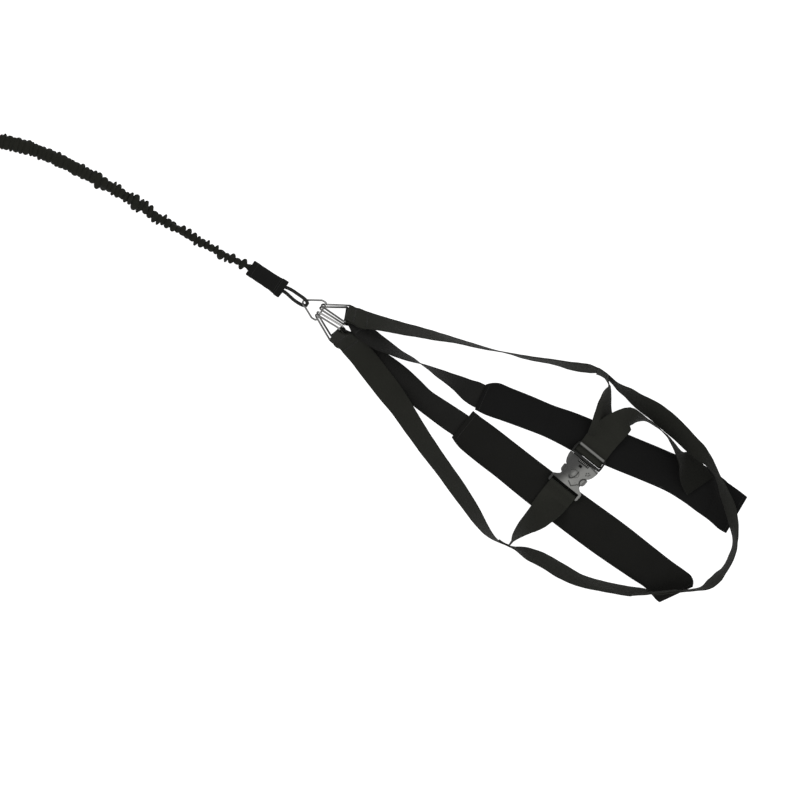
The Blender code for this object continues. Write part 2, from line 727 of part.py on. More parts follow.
def build_buckle():
    z0, z1 = BUCKLE_Z, BUCKLE_Z + BUCKLE_H
    zc = (z0 + z1) / 2
    # socket ---------------------------------------------------------------
    ob = prism("buckle_socket", sym(SOCKET_HALF), z0, z1, B, "buckle")
    fix_winding(ob)
    bevel(ob, 0.0012, 2)
    # webbing slot; the fixed bar is what is left in front of it
    cut(ob, bar_cutter("slot_fix", -5.4, 1.6, -25.6, 25.6, z0 - MM, z1 + MM))
    # the fixed bar is slimmer than the body
    cut(ob, bar_cutter("bar_top", -9.6, -5.1, -25.7, 25.7,
                       BAR_FIX_Z + 0.0015, z1 + MM))
    cut(ob, bar_cutter("bar_low", -9.7, -5.0, -25.8, 25.8,
                       z0 - MM, BAR_FIX_Z - 0.0015))
    cut(ob, bar_cutter("bar_front", -9.9, -8.4, -25.9, 25.9,
                       z0 - MM, z1 + MM))
    # tunnel for the plug, open at the mouth, and the two side windows
    cut(ob, bar_cutter("tunnel", 12.4, 52.0, -16.4, 16.4,
                       zc - 0.0042, zc + 0.0042))
    cut(ob, bar_cutter("throat", 31.4, 52.0, -24.4, 24.4,
                       zc - 0.0041, zc + 0.0041))
    cut(ob, bar_cutter("windows", 13.6, 28.6, -26.0, 26.0,
                       zc - 0.0043, zc + 0.0043))
    cut(ob, bar_cutter("slide_way", 28.0, 31.8, -19.6, 19.6,
                       zc - 0.0040, zc + 0.0040))
    # thumb recess, square hole and vent slot in the top
    cut(ob, oval_cutter("thumb", 24.5, -1.0, 6.2, 8.2,
                        z1 - 0.0011, z1 + MM))
    cut(ob, bar_cutter("peep", 38.2, 41.2, -2.4, 0.6, z1 - 0.0040, z1 + MM))
    cut(ob, bar_cutter("vent", 45.0, 48.0, -9.4, 8.0, z1 - 0.0040, z1 + MM))
    # plug -----------------------------------------------------------------
    plug_at = B(0.0500, 0, zc)
    ob = prism("buckle_plug", sym(PLUG_HALF), z0 + 0.0022, z1, B, "buckle",
               origin=plug_at)
    fix_winding(ob)
    bevel(ob, 0.0010, 2)
    cut(ob, bar_cutter("slot_in", 54.2, 66.2, -25.5, 25.5,
                       z0 - MM, z1 + MM))
    cut(ob, bar_cutter("under", 52.6, 75.0, -25.5, 25.5,
                       z0 - MM, LADDER_OUT[1] - BAR_R))
    cut(ob, bar_cutter("over", 66.0, 75.0, -25.5, 25.5,
                       LADDER_OUT[1] + BAR_R, z1 + MM))
    # inner ladder bar and the guide tongue are joined on
    n = 10
    verts, faces = [], []
    for v in (-0.0262, 0.0262):
        for k in range(n):
            a = 2 * PI * (k + 0.5) / n
            verts.append(B(LADDER_IN[0] + BAR_R * math.cos(a), v,
                           LADDER_IN[1] + BAR_R * math.sin(a)))
    faces = [tuple(range(n)), tuple(range(2 * n - 1, n - 1, -1))]
    for k in range(n):
        faces.append((k, k + n, (k + 1) % n + n, (k + 1) % n))
    bar = add_mesh("join_ladder_bar", verts, faces, None, coll=CUT)
    fix_winding(bar)
    cut(ob, bar, "UNION")
    tongue = bar_cutter("tongue", 15.2, 50.8, -6.4, 6.4,
                        zc - 0.0032, zc + 0.0036)
    cut(ob, tongue, "UNION")
    web = bar_cutter("root_web", 45.8, 50.8, -21.6, 21.6,
                     zc - 0.0036, zc + 0.0036)
    cut(ob, web, "UNION")
    # latches --------------------------------------------------------------
    for side, word in ((-1, "left"), (1, "right")):
        arm = [(44.1, 14.4), (44.1, 18.6), (36.0, 18.9), (30.6, 19.1),
               (28.3, 19.3), (28.2, 23.0), (26.0, 23.7), (19.0, 23.4),
               (16.2, 22.2), (14.4, 19.3), (15.0, 16.2), (20.0, 15.2),
               (31.0, 14.6)]
        pts = [(u * MM, side * v * MM) for u, v in arm]
        at = B(0.0430, side * 0.0165, zc)
        lt = prism("buckle_latch_" + word, pts, zc - 0.0036, zc + 0.0036,
                   B, "buckle", origin=at)
        if side > 0:
            lt.data.flip_normals()
        bevel(lt, 0.0006)


# ------------------------------------------------- band, boots, cord loops
BOOT_AXIS = Vector((0.832, -0.554, 0.0)).normalized()
BOOT_MID = G(267.0, 278.8, 0.0102)
BOOT_L, BOOT_W, BOOT_H, BOOT_WALL = 0.0645, 0.0248, 0.0200, 0.0014


def boot(name, mid, axis):
    """Folded end cover: a flat sleeve, open at both ends."""
    side = Vector((-axis.y, axis.x, 0))
    rings = []
    for f, grow in ((-0.5, 0.955), (-0.44, 1.0), (-0.15, 1.0), (0.15, 1.0),
                    (0.40, 1.0), (0.5, 0.97)):
        p = mid + axis * BOOT_L * f
        h = BOOT_H * grow
        rings.append(oval(p, side, BOOT_W / 2 * grow, mid.z - h / 2,
                          mid.z + h / 2, 3.4, 20))
    verts, faces = skin(rings, False)
    ob = add_mesh(name, verts, faces, "boot", origin=mid)
    mod = ob.modifiers.new("thickness", "SOLIDIFY")
    mod.thickness = BOOT_WALL
    mod.offset = -1.0
    mod.use_even_offset = True


def ferrule(name, mid, axis, r=0.0062, length=0.022, n=16):
    side = Vector((-axis.y, axis.x, 0))
    up = Vector((0, 0, 1))
    rings = []
    for f, q in ((-0.5, 0.86), (-0.42, 1.0), (-0.1, 1.0), (-0.06, 0.9),
                 (0.06, 0.9), (0.1, 1.0), (0.42, 1.0), (0.5, 0.86)):
        p = mid + axis * length * f
        rings.append([p + side * r * q * math.cos(2 * PI * k / n)
                      + up * r * q * math.sin(2 * PI * k / n)
                      for k in range(n)])
    verts, faces = skin(rings, True)
    add_mesh(name, verts, faces, "steel", origin=mid)


def smooth3(points, step):
    """Smooth open curve through points in space."""
    out = []
    n = len(points)
    for i in range(n - 1):
        p0 = points[max(0, i - 1)]
        p1, p2 = points[i], points[i + 1]
        p3 = points[min(n - 1, i + 2)]
        m = max(1, int(round((p2 - p1).length / step)))
        for k in range(m):
            t = k / m
            out.append(0.5 * ((2 * p1) + (p2 - p0) * t
                              + (2 * p0 - 5 * p1 + 4 * p2 - p3) * t * t
                              + (3 * p1 - p0 - 3 * p2 + p3) * t ** 3))
    out.append(points[-1])
    return out


LOOP_NEAR = [(276.0, 284.0, 11.0), (281.5, 286.2, 11.4),
             (287.6, 288.0, 13.4), (293.0, 290.8, 16.6),
             (298.2, 294.4, 20.4), (302.6, 297.4, 22.2),
             (306.3, 300.6, 21.4), (307.7, 303.3, 16.8),
             (306.4, 305.4, 11.0), (303.4, 305.6, 8.4),
             (298.6, 303.2, 8.2), (292.9, 299.2, 8.4),
             (288.0, 294.6, 8.8), (282.6, 290.6, 9.4),
             (275.0, 286.6, 9.6)]

COIL_MID = G(-104.0, 217.4, 0.0)
BAND_PATH = [(-53, 134.0, 12.0), (-38, 135.1, 12.0), (-20, 137.6, 12.1),
             (0, 141.2, 12.1), (20, 145.7, 12.0), (40, 152.2, 11.9),
             (60, 160.6, 11.7), (80, 170.6, 11.5), (100, 181.4, 11.2),
             (120, 192.8, 10.6), (140, 205.6, 9.8), (160, 218.4, 9.0),
             (180, 230.3, 8.3), (200, 242.0, 7.7), (220, 252.8, 7.2),
             (240, 262.6, 7.0), (250.5, 268.0, 7.0), (254.6, 270.6, 7.0)]


def build_band():
    boot("band_boot", BOOT_MID, BOOT_AXIS)
    ferrule("band_ferrule", BOOT_MID - BOOT_AXIS * 0.0045, BOOT_AXIS)
    pts = [G(x, y, z * MM) for x, y, z in LOOP_NEAR]
    wire("cord_loop", smooth3(pts, 0.005), CORD_LOOP_D, "cord",
         origin=BOOT_MID, res=2)
    pts, radii = [], []
    for i, (x, y, r) in enumerate(BAND_PATH):
        z = max(r * MM + FLOOR_GAP, 0.0)
        if x > 245:
            z = BOOT_MID.z
        elif x > 200:
            z = z + (BOOT_MID.z - z) * (x - 200) / 45
        pts.append(G(x, y, z))
        radii.append(r / (BAND_D / 2 / MM))
    wire("band", pts, BAND_D, "band", radii=radii, res=3)

    # coiled rest: one turn on the floor, which climbs on itself below the
    # incoming end, and three quarters of a turn on top, up to the far boot
    r = BAND_D / 2
    rings = []
    steps = [0, 8, 16, 24, 32, 40, 46, 52, 58, 64, 70, 76, 82, 88] \
        + list(range(96, 345, 8)) + [350, 356.4, 357.2]
    for deg in steps:
        if deg <= 46 or deg >= 357:
            up = 0.0
        elif deg < 88:
            f = (deg - 46) / 42.0
            up = 2 * r * f * f * (3 - 2 * f)
        else:
            up = 2 * r
        a = math.radians(deg)
        ring = []
        for k in range(12):
            b = 2 * PI * (k + 0.5) / 12
            rad = COIL_R + r * math.cos(b)
            z = FLOOR_GAP + r + r * math.sin(b)
            if math.sin(b) > 0:
                z += up
            ring.append(COIL_MID + Vector((rad * math.cos(a),
                                           rad * math.sin(a), z)))
        rings.append(ring)
    verts, faces = skin(rings + [rings[0]], False)
    n = len(rings) * 12
    faces = [tuple(v % n for v in reversed(f)) for f in faces]
    add_mesh("band_coil", verts[:n], faces, "band", origin=COIL_MID)

    a = math.radians(14.4)
    axis = Vector((-math.sin(a), math.cos(a), 0.0))
    side = Vector((math.cos(a), math.sin(a), 0.0))
    mid = COIL_MID + side * COIL_R * 0.972 + Vector((0, 0, FAR_BOOT_Z))
    boot("far_boot", mid, axis)
    ferrule("far_ferrule", mid - axis * 0.0045, axis)
    pts = []
    for along, s_, z in FAR_LOOP:
        pts.append(mid + axis * along * MM + side * s_ * MM
                   + Vector((0, 0, z * MM)))
    wire("far_cord_loop", smooth3(pts, 0.006), CORD_LOOP_D, "cord",
         origin=mid, res=2)


FAR_BOOT_Z = 0.0352
FAR_LOOP = [(13, 4.5, 0), (23, 5.0, 0), (33, 6.0, -2.0), (44, 9.0, -6.2),
            (55, 11.0, -7.2), (64, 9.0, -7.2), (69, 4.0, -7.2),
            (69, -4.0, -7.2), (64, -9.0, -7.2), (55, -11.0, -7.2),
            (44, -9.0, -6.2), (33, -6.0, -2.0), (23, -5.0, 0), (13, -4.5, 0)]


def main():
    clear_scene()
    build_rings()
    build_link()
    up, low = build_side_straps()
    pad("upper", PAD_UPPER, 2, 14, 6)
    pad("lower", PAD_LOWER, 2, 13, 7)
    build_chest_straps(up, low)
    build_buckle()
    build_band()


main()
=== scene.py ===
"""Looks of the resistance band harness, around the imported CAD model.

Everything is in metres in the frame of the CAD model: Z up, the harness
lies on the plane z = 0.  Plan positions use the same 1.6 mm grid as the
CAD source (G below), whose second axis runs down the layout.
"""
import math
import json

import bpy
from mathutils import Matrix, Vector, noise

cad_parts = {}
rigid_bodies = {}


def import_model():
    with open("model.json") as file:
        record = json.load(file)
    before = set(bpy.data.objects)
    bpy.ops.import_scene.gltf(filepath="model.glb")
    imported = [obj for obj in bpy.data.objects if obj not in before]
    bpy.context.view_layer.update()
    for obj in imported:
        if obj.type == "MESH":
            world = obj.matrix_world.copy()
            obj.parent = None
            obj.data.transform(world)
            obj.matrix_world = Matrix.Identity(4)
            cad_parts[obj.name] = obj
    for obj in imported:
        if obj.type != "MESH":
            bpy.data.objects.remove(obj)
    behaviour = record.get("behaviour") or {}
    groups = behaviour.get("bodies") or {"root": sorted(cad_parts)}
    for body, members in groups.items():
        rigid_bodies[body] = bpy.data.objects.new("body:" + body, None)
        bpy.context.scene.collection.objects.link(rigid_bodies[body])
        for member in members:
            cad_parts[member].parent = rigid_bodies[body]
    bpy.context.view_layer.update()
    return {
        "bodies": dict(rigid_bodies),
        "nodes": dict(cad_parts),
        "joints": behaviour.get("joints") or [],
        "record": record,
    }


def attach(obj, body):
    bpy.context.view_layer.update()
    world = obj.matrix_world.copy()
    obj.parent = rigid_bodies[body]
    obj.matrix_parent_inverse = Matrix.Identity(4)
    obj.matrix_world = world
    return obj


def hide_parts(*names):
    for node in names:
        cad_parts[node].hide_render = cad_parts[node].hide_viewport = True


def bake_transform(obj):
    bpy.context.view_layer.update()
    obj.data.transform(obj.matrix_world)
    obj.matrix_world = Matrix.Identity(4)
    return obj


PI = math.pi
MM = 0.001
GRID = 0.0016
GRID_X0, GRID_Y0 = 496.5, 433.7
FLOOR_GAP = 0.0006
WEB_THICK = 0.0015
WEB_WIDTH = 0.040
CHEST_WIDTH = 0.050
FIT = 0.0003
WIRE = 0.0032
RING_BASE = 0.0476
RING_REACH = 0.040
LOOP_R = WIRE / 2 + FIT + WEB_THICK / 2
SEWN_BACK = 0.035


def G(x, y, z=0.0):
    return Vector(((x - GRID_X0) * GRID, (GRID_Y0 - y) * GRID, z))


def rnd(i, k=0):
    """Repeatable scatter in 0..1."""
    v = math.sin(i * 12.9898 + k * 78.233 + 3.1) * 43758.5453
    return v - math.floor(v)


def mixf(a, b, f):
    return a + (b - a) * f


def step01(x):
    x = max(0.0, min(1.0, x))
    return x * x * (3 - 2 * x)


# ------------------------------------------------------------------ meshes
def add_mesh(name, verts, faces, mat=None, uvs=None, smooth=True):
    me = bpy.data.meshes.new(name)
    me.from_pydata([tuple(v) for v in verts], [], faces)
    me.update()
    if uvs is not None:
        layer = me.uv_layers.new(name="UVMap")
        for poly in me.polygons:
            for li, vi in zip(poly.loop_indices, poly.vertices):
                layer.data[li].uv = uvs[vi]
    if smooth:
        me.polygons.foreach_set("use_smooth", [True] * len(me.polygons))
    ob = bpy.data.objects.new(name, me)
    bpy.context.scene.collection.objects.link(ob)
    if mat is not None:
        me.materials.append(mat)
    return ob


def skin(rings, capped):
    """Faces of a tube through rings of equally many points; a cap has its
    own middle point, so it stays round."""
    n = len(rings[0])
    verts = [v for r in rings for v in r]
    faces = []
    for i in range(len(rings) - 1):
        for k in range(n):
            a, b = i * n + k, i * n + (k + 1) % n
            faces.append((a, b, b + n, a + n))
    if capped:
        last = (len(rings) - 1) * n
        first_mid = sum(rings[0], Vector()) / n
        last_mid = sum(rings[-1], Vector()) / n
        verts += [first_mid, last_mid]
        f, e = len(verts) - 2, len(verts) - 1
        for k in range(n):
            faces.append((f, (k + 1) % n, k))
            faces.append((e, last + k, last + (k + 1) % n))
    return verts, faces


def smooth3(points, step):
    """Smooth open curve through points in space."""
    out = []
    n = len(points)
    for i in range(n - 1):
        p0 = points[max(0, i - 1)]
        p1, p2 = points[i], points[i + 1]
        p3 = points[min(n - 1, i + 2)]
        m = max(1, int(round((p2 - p1).length / step)))
        for k in range(m):
            t = k / m
            out.append(0.5 * ((2 * p1) + (p2 - p0) * t
                              + (2 * p0 - 5 * p1 + 4 * p2 - p3) * t * t
                              + (3 * p1 - p0 - 3 * p2 + p3) * t ** 3))
    out.append(points[-1].copy())
    return out


def resample(points, step):
    """Points an equal distance apart along a line, and that distance."""
    acc = [0.0]
    for a, b in zip(points, points[1:]):
        acc.append(acc[-1] + (b - a).length)
    total = acc[-1]
    n = max(2, int(round(total / step)))
    out, j = [], 0
    for k in range(n + 1):
        s = total * k / n
        while j < len(acc) - 2 and acc[j + 1] < s:
            j += 1
        f = (s - acc[j]) / max(1e-9, acc[j + 1] - acc[j])
        out.append(points[j].lerp(points[j + 1], min(1.0, f)))
    return out, total


# --------------------------------------------------------------- materials
def principled(name, rgb, rough, metal=0.0, spec=0.5):
    mat = bpy.data.materials.new(name)
    mat.use_nodes = True
    nt = mat.node_tree
    bsdf = nt.nodes["Principled BSDF"]
    bsdf.inputs["Base Color"].default_value = (*rgb, 1.0)
    bsdf.inputs["Roughness"].default_value = rough
    bsdf.inputs["Metallic"].default_value = metal
    bsdf.inputs["Specular IOR Level"].default_value = spec
    return mat, nt, bsdf


def math_node(nt, op, a, b=None, c=None):
    n = nt.nodes.new("ShaderNodeMath")
    n.operation = op
    for i, v in enumerate((a, b, c)):
        if v is None:
            continue
        if isinstance(v, (int, float)):
            n.inputs[i].default_value = v
        else:
            nt.links.new(v, n.inputs[i])
    return n.outputs[0]


def noise_node(nt, coord, scale, detail=3.0, rough=0.55):
    n = nt.nodes.new("ShaderNodeTexNoise")
    n.inputs["Scale"].default_value = scale
    n.inputs["Detail"].default_value = detail
    n.inputs["Roughness"].default_value = rough
    nt.links.new(coord, n.inputs["Vector"])
    return n.outputs["Fac"]


def tint(nt, bsdf, fac, dark, light):
    """Base colour between two colours by a 0..1 value."""
    mix = nt.nodes.new("ShaderNodeMix")
    mix.data_type = "RGBA"
    nt.links.new(fac, mix.inputs[0])
    mix.inputs[6].default_value = (*dark, 1.0)
    mix.inputs[7].default_value = (*light, 1.0)
    nt.links.new(mix.outputs[2], bsdf.inputs["Base Color"])


def bump(nt, bsdf, height, strength, distance):
    b = nt.nodes.new("ShaderNodeBump")
    b.inputs["Strength"].default_value = strength
    b.inputs["Distance"].default_value = distance
    nt.links.new(height, b.inputs["Height"])
    nt.links.new(b.outputs["Normal"], bsdf.inputs["Normal"])


def uv_xy(nt):
    tc = nt.nodes.new("ShaderNodeTexCoord")
    sep = nt.nodes.new("ShaderNodeSeparateXYZ")
    nt.links.new(tc.outputs["UV"], sep.inputs[0])
    return tc, sep.outputs[0], sep.outputs[1]


def webbing_material(name, rgb, sheen=0.03, rib=0.0019, pick=0.0015,
                     shaded_end=False):
    """Flat woven webbing: V-shaped ribs along its length.  The UV map is in
    metres, along and across.  When asked for, the base colour also carries
    a painted shade: full colour where the mesh's shade attribute is 1,
    painted darker where it is 0."""
    mat, nt, bsdf = principled(name, rgb, 0.90, spec=0.07)
    bsdf.inputs["Sheen Weight"].default_value = sheen
    bsdf.inputs["Sheen Roughness"].default_value = 0.45
    tc, u, v = uv_xy(nt)
    # ribs across the width, with the picks slanting one way and the other
    across = math_node(nt, "MULTIPLY", v, 2 * PI / rib)
    ribs = math_node(nt, "SINE", across)
    ribs = math_node(nt, "ABSOLUTE", ribs)
    fold = math_node(nt, "PINGPONG", v, rib)
    slant = math_node(nt, "ADD", u, math_node(nt, "MULTIPLY", fold, 0.8))
    picks = math_node(nt, "SINE",
                      math_node(nt, "MULTIPLY", slant, 2 * PI / pick))
    picks = math_node(nt, "MULTIPLY_ADD", picks, 0.5, 0.5)
    height = math_node(nt, "MULTIPLY_ADD", picks, 0.6,
                       math_node(nt, "MULTIPLY", ribs, 0.7))
    fine = noise_node(nt, tc.outputs["Object"], 900.0, 2.0)
    height = math_node(nt, "MULTIPLY_ADD", fine, 0.35, height)
    bump(nt, bsdf, height, 0.55, 0.00022)
    broad = noise_node(nt, tc.outputs["Object"], 34.0, 4.0, 0.6)
    # Base colour: painted shade, lighter on the crowns of the ribs and picks
    # and darker in the valleys between them, plus a broad random tone.
    shade = math_node(nt, "MULTIPLY_ADD", height, 0.42,
                      math_node(nt, "MULTIPLY", broad, 0.45))
    # Painted shade: where the attribute falls to 0, the colour is painted
    # darker, down to a quarter of the webbing's colour.
    if shaded_end:
        attr = nt.nodes.new("ShaderNodeAttribute")
        attr.attribute_name = "end_shade"
        shade = math_node(nt, "MULTIPLY_ADD", shade, 0.68, 0.32)
        shade = math_node(nt, "MULTIPLY", shade, attr.outputs["Fac"])
    tint(nt, bsdf, shade, tuple(c * (0.25 if shaded_end else 0.62) for c in rgb),
         tuple(c * 1.42 for c in rgb))
    return mat


def cloth_material(name, rgb, thread=0.0009, sheen=0.02, spread=0.35,
                   rough=0.93):
    """Plain woven cloth, by the object's own coordinates."""
    mat, nt, bsdf = principled(name, rgb, rough, spec=0.05)
    bsdf.inputs["Sheen Weight"].default_value = sheen
    bsdf.inputs["Sheen Roughness"].default_value = 0.5
    tc, u, v = uv_xy(nt)
    a = math_node(nt, "SINE", math_node(nt, "MULTIPLY", u, 2 * PI / thread))
    b = math_node(nt, "SINE", math_node(nt, "MULTIPLY", v, 2 * PI / thread))
    weave = math_node(nt, "MULTIPLY", a, b)
    weave = math_node(nt, "MULTIPLY_ADD", weave, 0.5, 0.5)
    fine = noise_node(nt, tc.outputs["Object"], 1100.0, 2.0)
    height = math_node(nt, "MULTIPLY_ADD", fine, 0.5, weave)
    bump(nt, bsdf, height, 0.4, 0.00015)
    broad = noise_node(nt, tc.outputs["Object"], 26.0, 4.0, 0.6)
    tint(nt, bsdf, broad, tuple(c * (1 - spread) for c in rgb),
         tuple(c * (1 + spread) for c in rgb))
    return mat


def plastic_material(name, rgb, rough=0.34, spec=0.20):
    """Moulded plastic with painted light and shade: the base colour is darker
    where the mesh's painted attribute is low and lighter where it is high.
    """
    mat, nt, bsdf = principled(name, rgb, rough, spec=spec)
    attr = nt.nodes.new("ShaderNodeAttribute")
    attr.attribute_name = "painted_light"
    tint(nt, bsdf, attr.outputs["Fac"], tuple(c * 0.06 for c in rgb),
         tuple(c * 1.25 for c in rgb))
    tc = nt.nodes.new("ShaderNodeTexCoord")
    fine = noise_node(nt, tc.outputs["Object"], 700.0, 3.0)
    bump(nt, bsdf, fine, 0.12, 0.0002)
    broad = noise_node(nt, tc.outputs["Object"], 60.0, 3.0)
    r = math_node(nt, "MULTIPLY_ADD", broad, 0.14, rough - 0.07)
    nt.links.new(r, bsdf.inputs["Roughness"])
    return mat


def steel_material(name, rgb=(0.72, 0.72, 0.70), rough=0.22):
    mat, nt, bsdf = principled(name, rgb, rough, metal=1.0)
    tc = nt.nodes.new("ShaderNodeTexCoord")
    broad = noise_node(nt, tc.outputs["Object"], 240.0, 3.0)
    r = math_node(nt, "MULTIPLY_ADD", broad, 0.16, rough - 0.08)
    nt.links.new(r, bsdf.inputs["Roughness"])
    return mat


def cord_material(name, rgb, pick=0.0014):
    """Round braided cord: crossing strands, by the object's own axes."""
    mat, nt, bsdf = principled(name, rgb, 0.85, spec=0.07)
    bsdf.inputs["Sheen Weight"].default_value = 0.03
    tc = nt.nodes.new("ShaderNodeTexCoord")
    wave = []
    for turn in ((0.9, 0.5), (0.9, -0.5)):
        mp = nt.nodes.new("ShaderNodeMapping")
        mp.inputs["Rotation"].default_value = (turn[1] * 1.2, turn[1], 0.6)
        nt.links.new(tc.outputs["Object"], mp.inputs["Vector"])
        sep = nt.nodes.new("ShaderNodeSeparateXYZ")
        nt.links.new(mp.outputs["Vector"], sep.inputs[0])
        wave.append(math_node(nt, "SINE", math_node(
            nt, "MULTIPLY", sep.outputs[0], 2 * PI / pick)))
    h = math_node(nt, "MAXIMUM", wave[0], wave[1])
    h = math_node(nt, "MULTIPLY_ADD", h, 0.5, 0.5)
    bump(nt, bsdf, h, 0.5, 0.0003)
    # Painted shade: the colour is lighter on the crowns of the strands and
    # darker in the hollows between them.
    tint(nt, bsdf, h, tuple(c * 0.7 for c in rgb),
         tuple(c * 1.35 for c in rgb))
    return mat


def give(node, mat):
    """A CAD node keeps its shape and takes a better material."""
    ob = bpy.data.objects[node]
    if not ob.material_slots:
        ob.data.materials.append(mat)
    for s in ob.material_slots:
        s.material = mat
    ob.data.polygons.foreach_set("use_smooth", [True] * len(ob.data.polygons))
    ob.data.update()


# -------------------------------------------------------- stage and camera
def build_stage():
    scene = bpy.context.scene
    scene.view_settings.view_transform = "Standard"
    scene.view_settings.look = "None"
    world = bpy.data.worlds.new("studio")
    scene.world = world
    world.use_nodes = True
    bg = world.node_tree.nodes["Background"]
    # a bright ceiling over a dim horizon, as in a light tent
    nt = world.node_tree
    tc = nt.nodes.new("ShaderNodeTexCoord")
    dot = nt.nodes.new("ShaderNodeVectorMath")
    dot.operation = "DOT_PRODUCT"
    dot.inputs[1].default_value = Vector((0.15, -0.15, 0.97)).normalized()
    ramp = nt.nodes.new("ShaderNodeValToRGB")
    nt.links.new(tc.outputs["Generated"], dot.inputs[0])
    nt.links.new(dot.outputs["Value"], ramp.inputs[0])
    nt.links.new(ramp.outputs[0], bg.inputs["Color"])
    els = ramp.color_ramp.elements
    els[0].position, els[0].color = 0.0, (0.10, 0.10, 0.10, 1)
    els[1].position, els[1].color = 1.0, (1.75, 1.75, 1.75, 1)
    for pos, v in ((0.25, 0.16), (0.50, 0.62), (0.85, 0.72), (0.93, 0.80),
                   (0.978, 1.10)):
        e = els.new(pos)
        e.color = (v, v, v, 1)
    bg.inputs["Strength"].default_value = 2.08

    me = bpy.data.meshes.new("floor")
    s = 6.0
    me.from_pydata([(-s, -s, 0), (s, -s, 0), (s, s, 0), (-s, s, 0)], [],
                   [(0, 1, 2, 3)])
    floor = bpy.data.objects.new("floor", me)
    floor.location = (-0.15, 0.05, -0.0001)
    scene.collection.objects.link(floor)
    mat, _, bsdf = principled("floor", (0.25, 0.25, 0.25), 0.9, spec=0.0)
    bsdf.inputs["Emission Color"].default_value = (1.0, 1.0, 1.0, 1.0)
    bsdf.inputs["Emission Strength"].default_value = 0.93
    me.materials.append(mat)

    def area(name, loc, size, power):
        li = bpy.data.lights.new(name, "AREA")
        li.shape = "DISK"
        li.size = size
        li.energy = power
        ob = bpy.data.objects.new(name, li)
        ob.location = loc
        aim = Vector((-0.05, 0.0, 0.0)) - Vector(loc)
        ob.rotation_euler = aim.to_track_quat("-Z", "Y").to_euler()
        scene.collection.objects.link(ob)

    area("key", (-1.3, 1.5, 2.6), 1.8, 26.0)
    area("fill", (1.9, -0.9, 2.4), 2.2, 14.0)

    cam = bpy.data.cameras.new("camera")
    cam.lens = 337.5
    cam.sensor_width = 36.0
    cam.sensor_fit = "HORIZONTAL"
    cam.clip_end = 50.0
    ob = bpy.data.objects.new("camera", cam)
    mid = G(400.0, 400.0)
    ob.location = (mid.x, mid.y, 12.0)
    ob.rotation_euler = (0.0, 0.0, 0.0)
    scene.collection.objects.link(ob)
    scene.camera = ob


# -------------------------------------------------------------- the band
BOOT_MID = G(267.0, 278.8, 0.0102)
BOOT_AXIS = Vector((0.832, -0.554, 0.0)).normalized()
BOOT_L, BOOT_W, BOOT_H, BOOT_WALL = 0.0645, 0.0248, 0.0200, 0.0014
BAND_R = 0.012
COIL_R = 0.1335
COIL_MID = G(-104.0, 217.4, 0.0)
BAND_PATH = [(-53, 134.0, 12.0), (-38, 135.1, 12.0), (-20, 137.6, 12.1),
             (0, 141.2, 12.1), (20, 145.7, 12.0), (40, 152.2, 11.9),
             (60, 160.6, 11.7), (80, 170.6, 11.5), (100, 181.4, 11.2),
             (120, 192.8, 10.6), (140, 205.6, 9.8), (160, 218.4, 9.0),
             (180, 230.3, 8.3), (200, 242.0, 7.7), (220, 252.8, 7.2),
             (240, 262.6, 7.0), (250.5, 268.0, 7.0), (254.6, 270.6, 7.0)]
FAR_ANGLE = math.radians(14.4)
FAR_AXIS = Vector((-math.sin(FAR_ANGLE), math.cos(FAR_ANGLE), 0.0))
FAR_SIDE = Vector((math.cos(FAR_ANGLE), math.sin(FAR_ANGLE), 0.0))
FAR_MID = COIL_MID + FAR_SIDE * COIL_R * 0.972 + Vector((0, 0, 0.0352))


def band_route():
    """Centre line from the near boot to the far one, with the radius of the
    sleeve at each point."""
    pts, radii = [], []
    for x, y, r in reversed(BAND_PATH):
        z = r * MM + FLOOR_GAP
        if x > 245:
            z = BOOT_MID.z
        elif x > 200:
            z = z + (BOOT_MID.z - z) * (x - 200) / 45
        pts.append(G(x, y, z))
        radii.append(r * MM)
    # one turn on the floor, then three quarters of a turn on top of it
    turn = [(a, 0.0) for a in range(90, 406, 12)]
    turn += [(a, 1.0) for a in range(406, 451, 9)]
    turn += [(a, 2.0) for a in range(458, 708, 12)]
    for a, kind in turn:
        up, inward = 0.0, 0.0
        if kind == 1.0 or kind == 2.0:
            up = 2 * BAND_R * step01((a - 402) / 50.0)
            inward = 0.0066 * step01((a - 398) / 26.0) \
                * (1 - step01((a - 432) / 34.0))
        r = COIL_R - inward
        b = math.radians(a)
        wob = 0.0022 * math.sin(2.3 * b) if kind == 2.0 else 0.0
        pts.append(COIL_MID + Vector(((r + wob) * math.cos(b),
                                      (r + wob) * math.sin(b),
                                      BAND_R + FLOOR_GAP + up)))
        radii.append(BAND_R)
    pts += [FAR_MID - FAR_AXIS * 0.040 + Vector((0, 0, 0.0006)),
            FAR_MID - FAR_AXIS * 0.030, FAR_MID - FAR_AXIS * 0.0158]
    radii += [0.0082, 0.0070, 0.0070]
    return pts, radii


def fold_list(total, visible):
    """Gathers of the sleeve: (distance, half length, height, lobes, lobe
    direction, tilt, tilt direction)."""
    out = []
    s, i = 0.0165, 0
    tilt_x, tilt_y = 0.0, 0.0
    while s < total - 0.010:
        k = s / visible
        tight = step01((0.74 - k) / 0.34)     # 1 near the boot, 0 far off
        pitch = mixf(7.2, 9.8, tight) * MM
        wide = rnd(i, 1)
        if wide > 0.80:
            pitch *= 1.34
        elif wide < 0.20:
            pitch *= 0.72
        big = 0.74 + 0.26 * rnd(i, 2)
        if rnd(i, 3) < 0.14:
            big *= 0.62
        tilt_x = 0.72 * tilt_x + 0.28 * (rnd(i, 6) - 0.5)
        tilt_y = 0.72 * tilt_y + 0.28 * (rnd(i, 7) - 0.5)
        out.append((s + pitch / 2, pitch * mixf(0.505, 0.47, tight), big,
                    1 if rnd(i, 4) < mixf(0.40, 0.55, tight) else 2,
                    2 * PI * rnd(i, 5), math.hypot(tilt_x, tilt_y),
                    math.atan2(tilt_y, tilt_x), tight))
        s += pitch
        i += 1
    return out


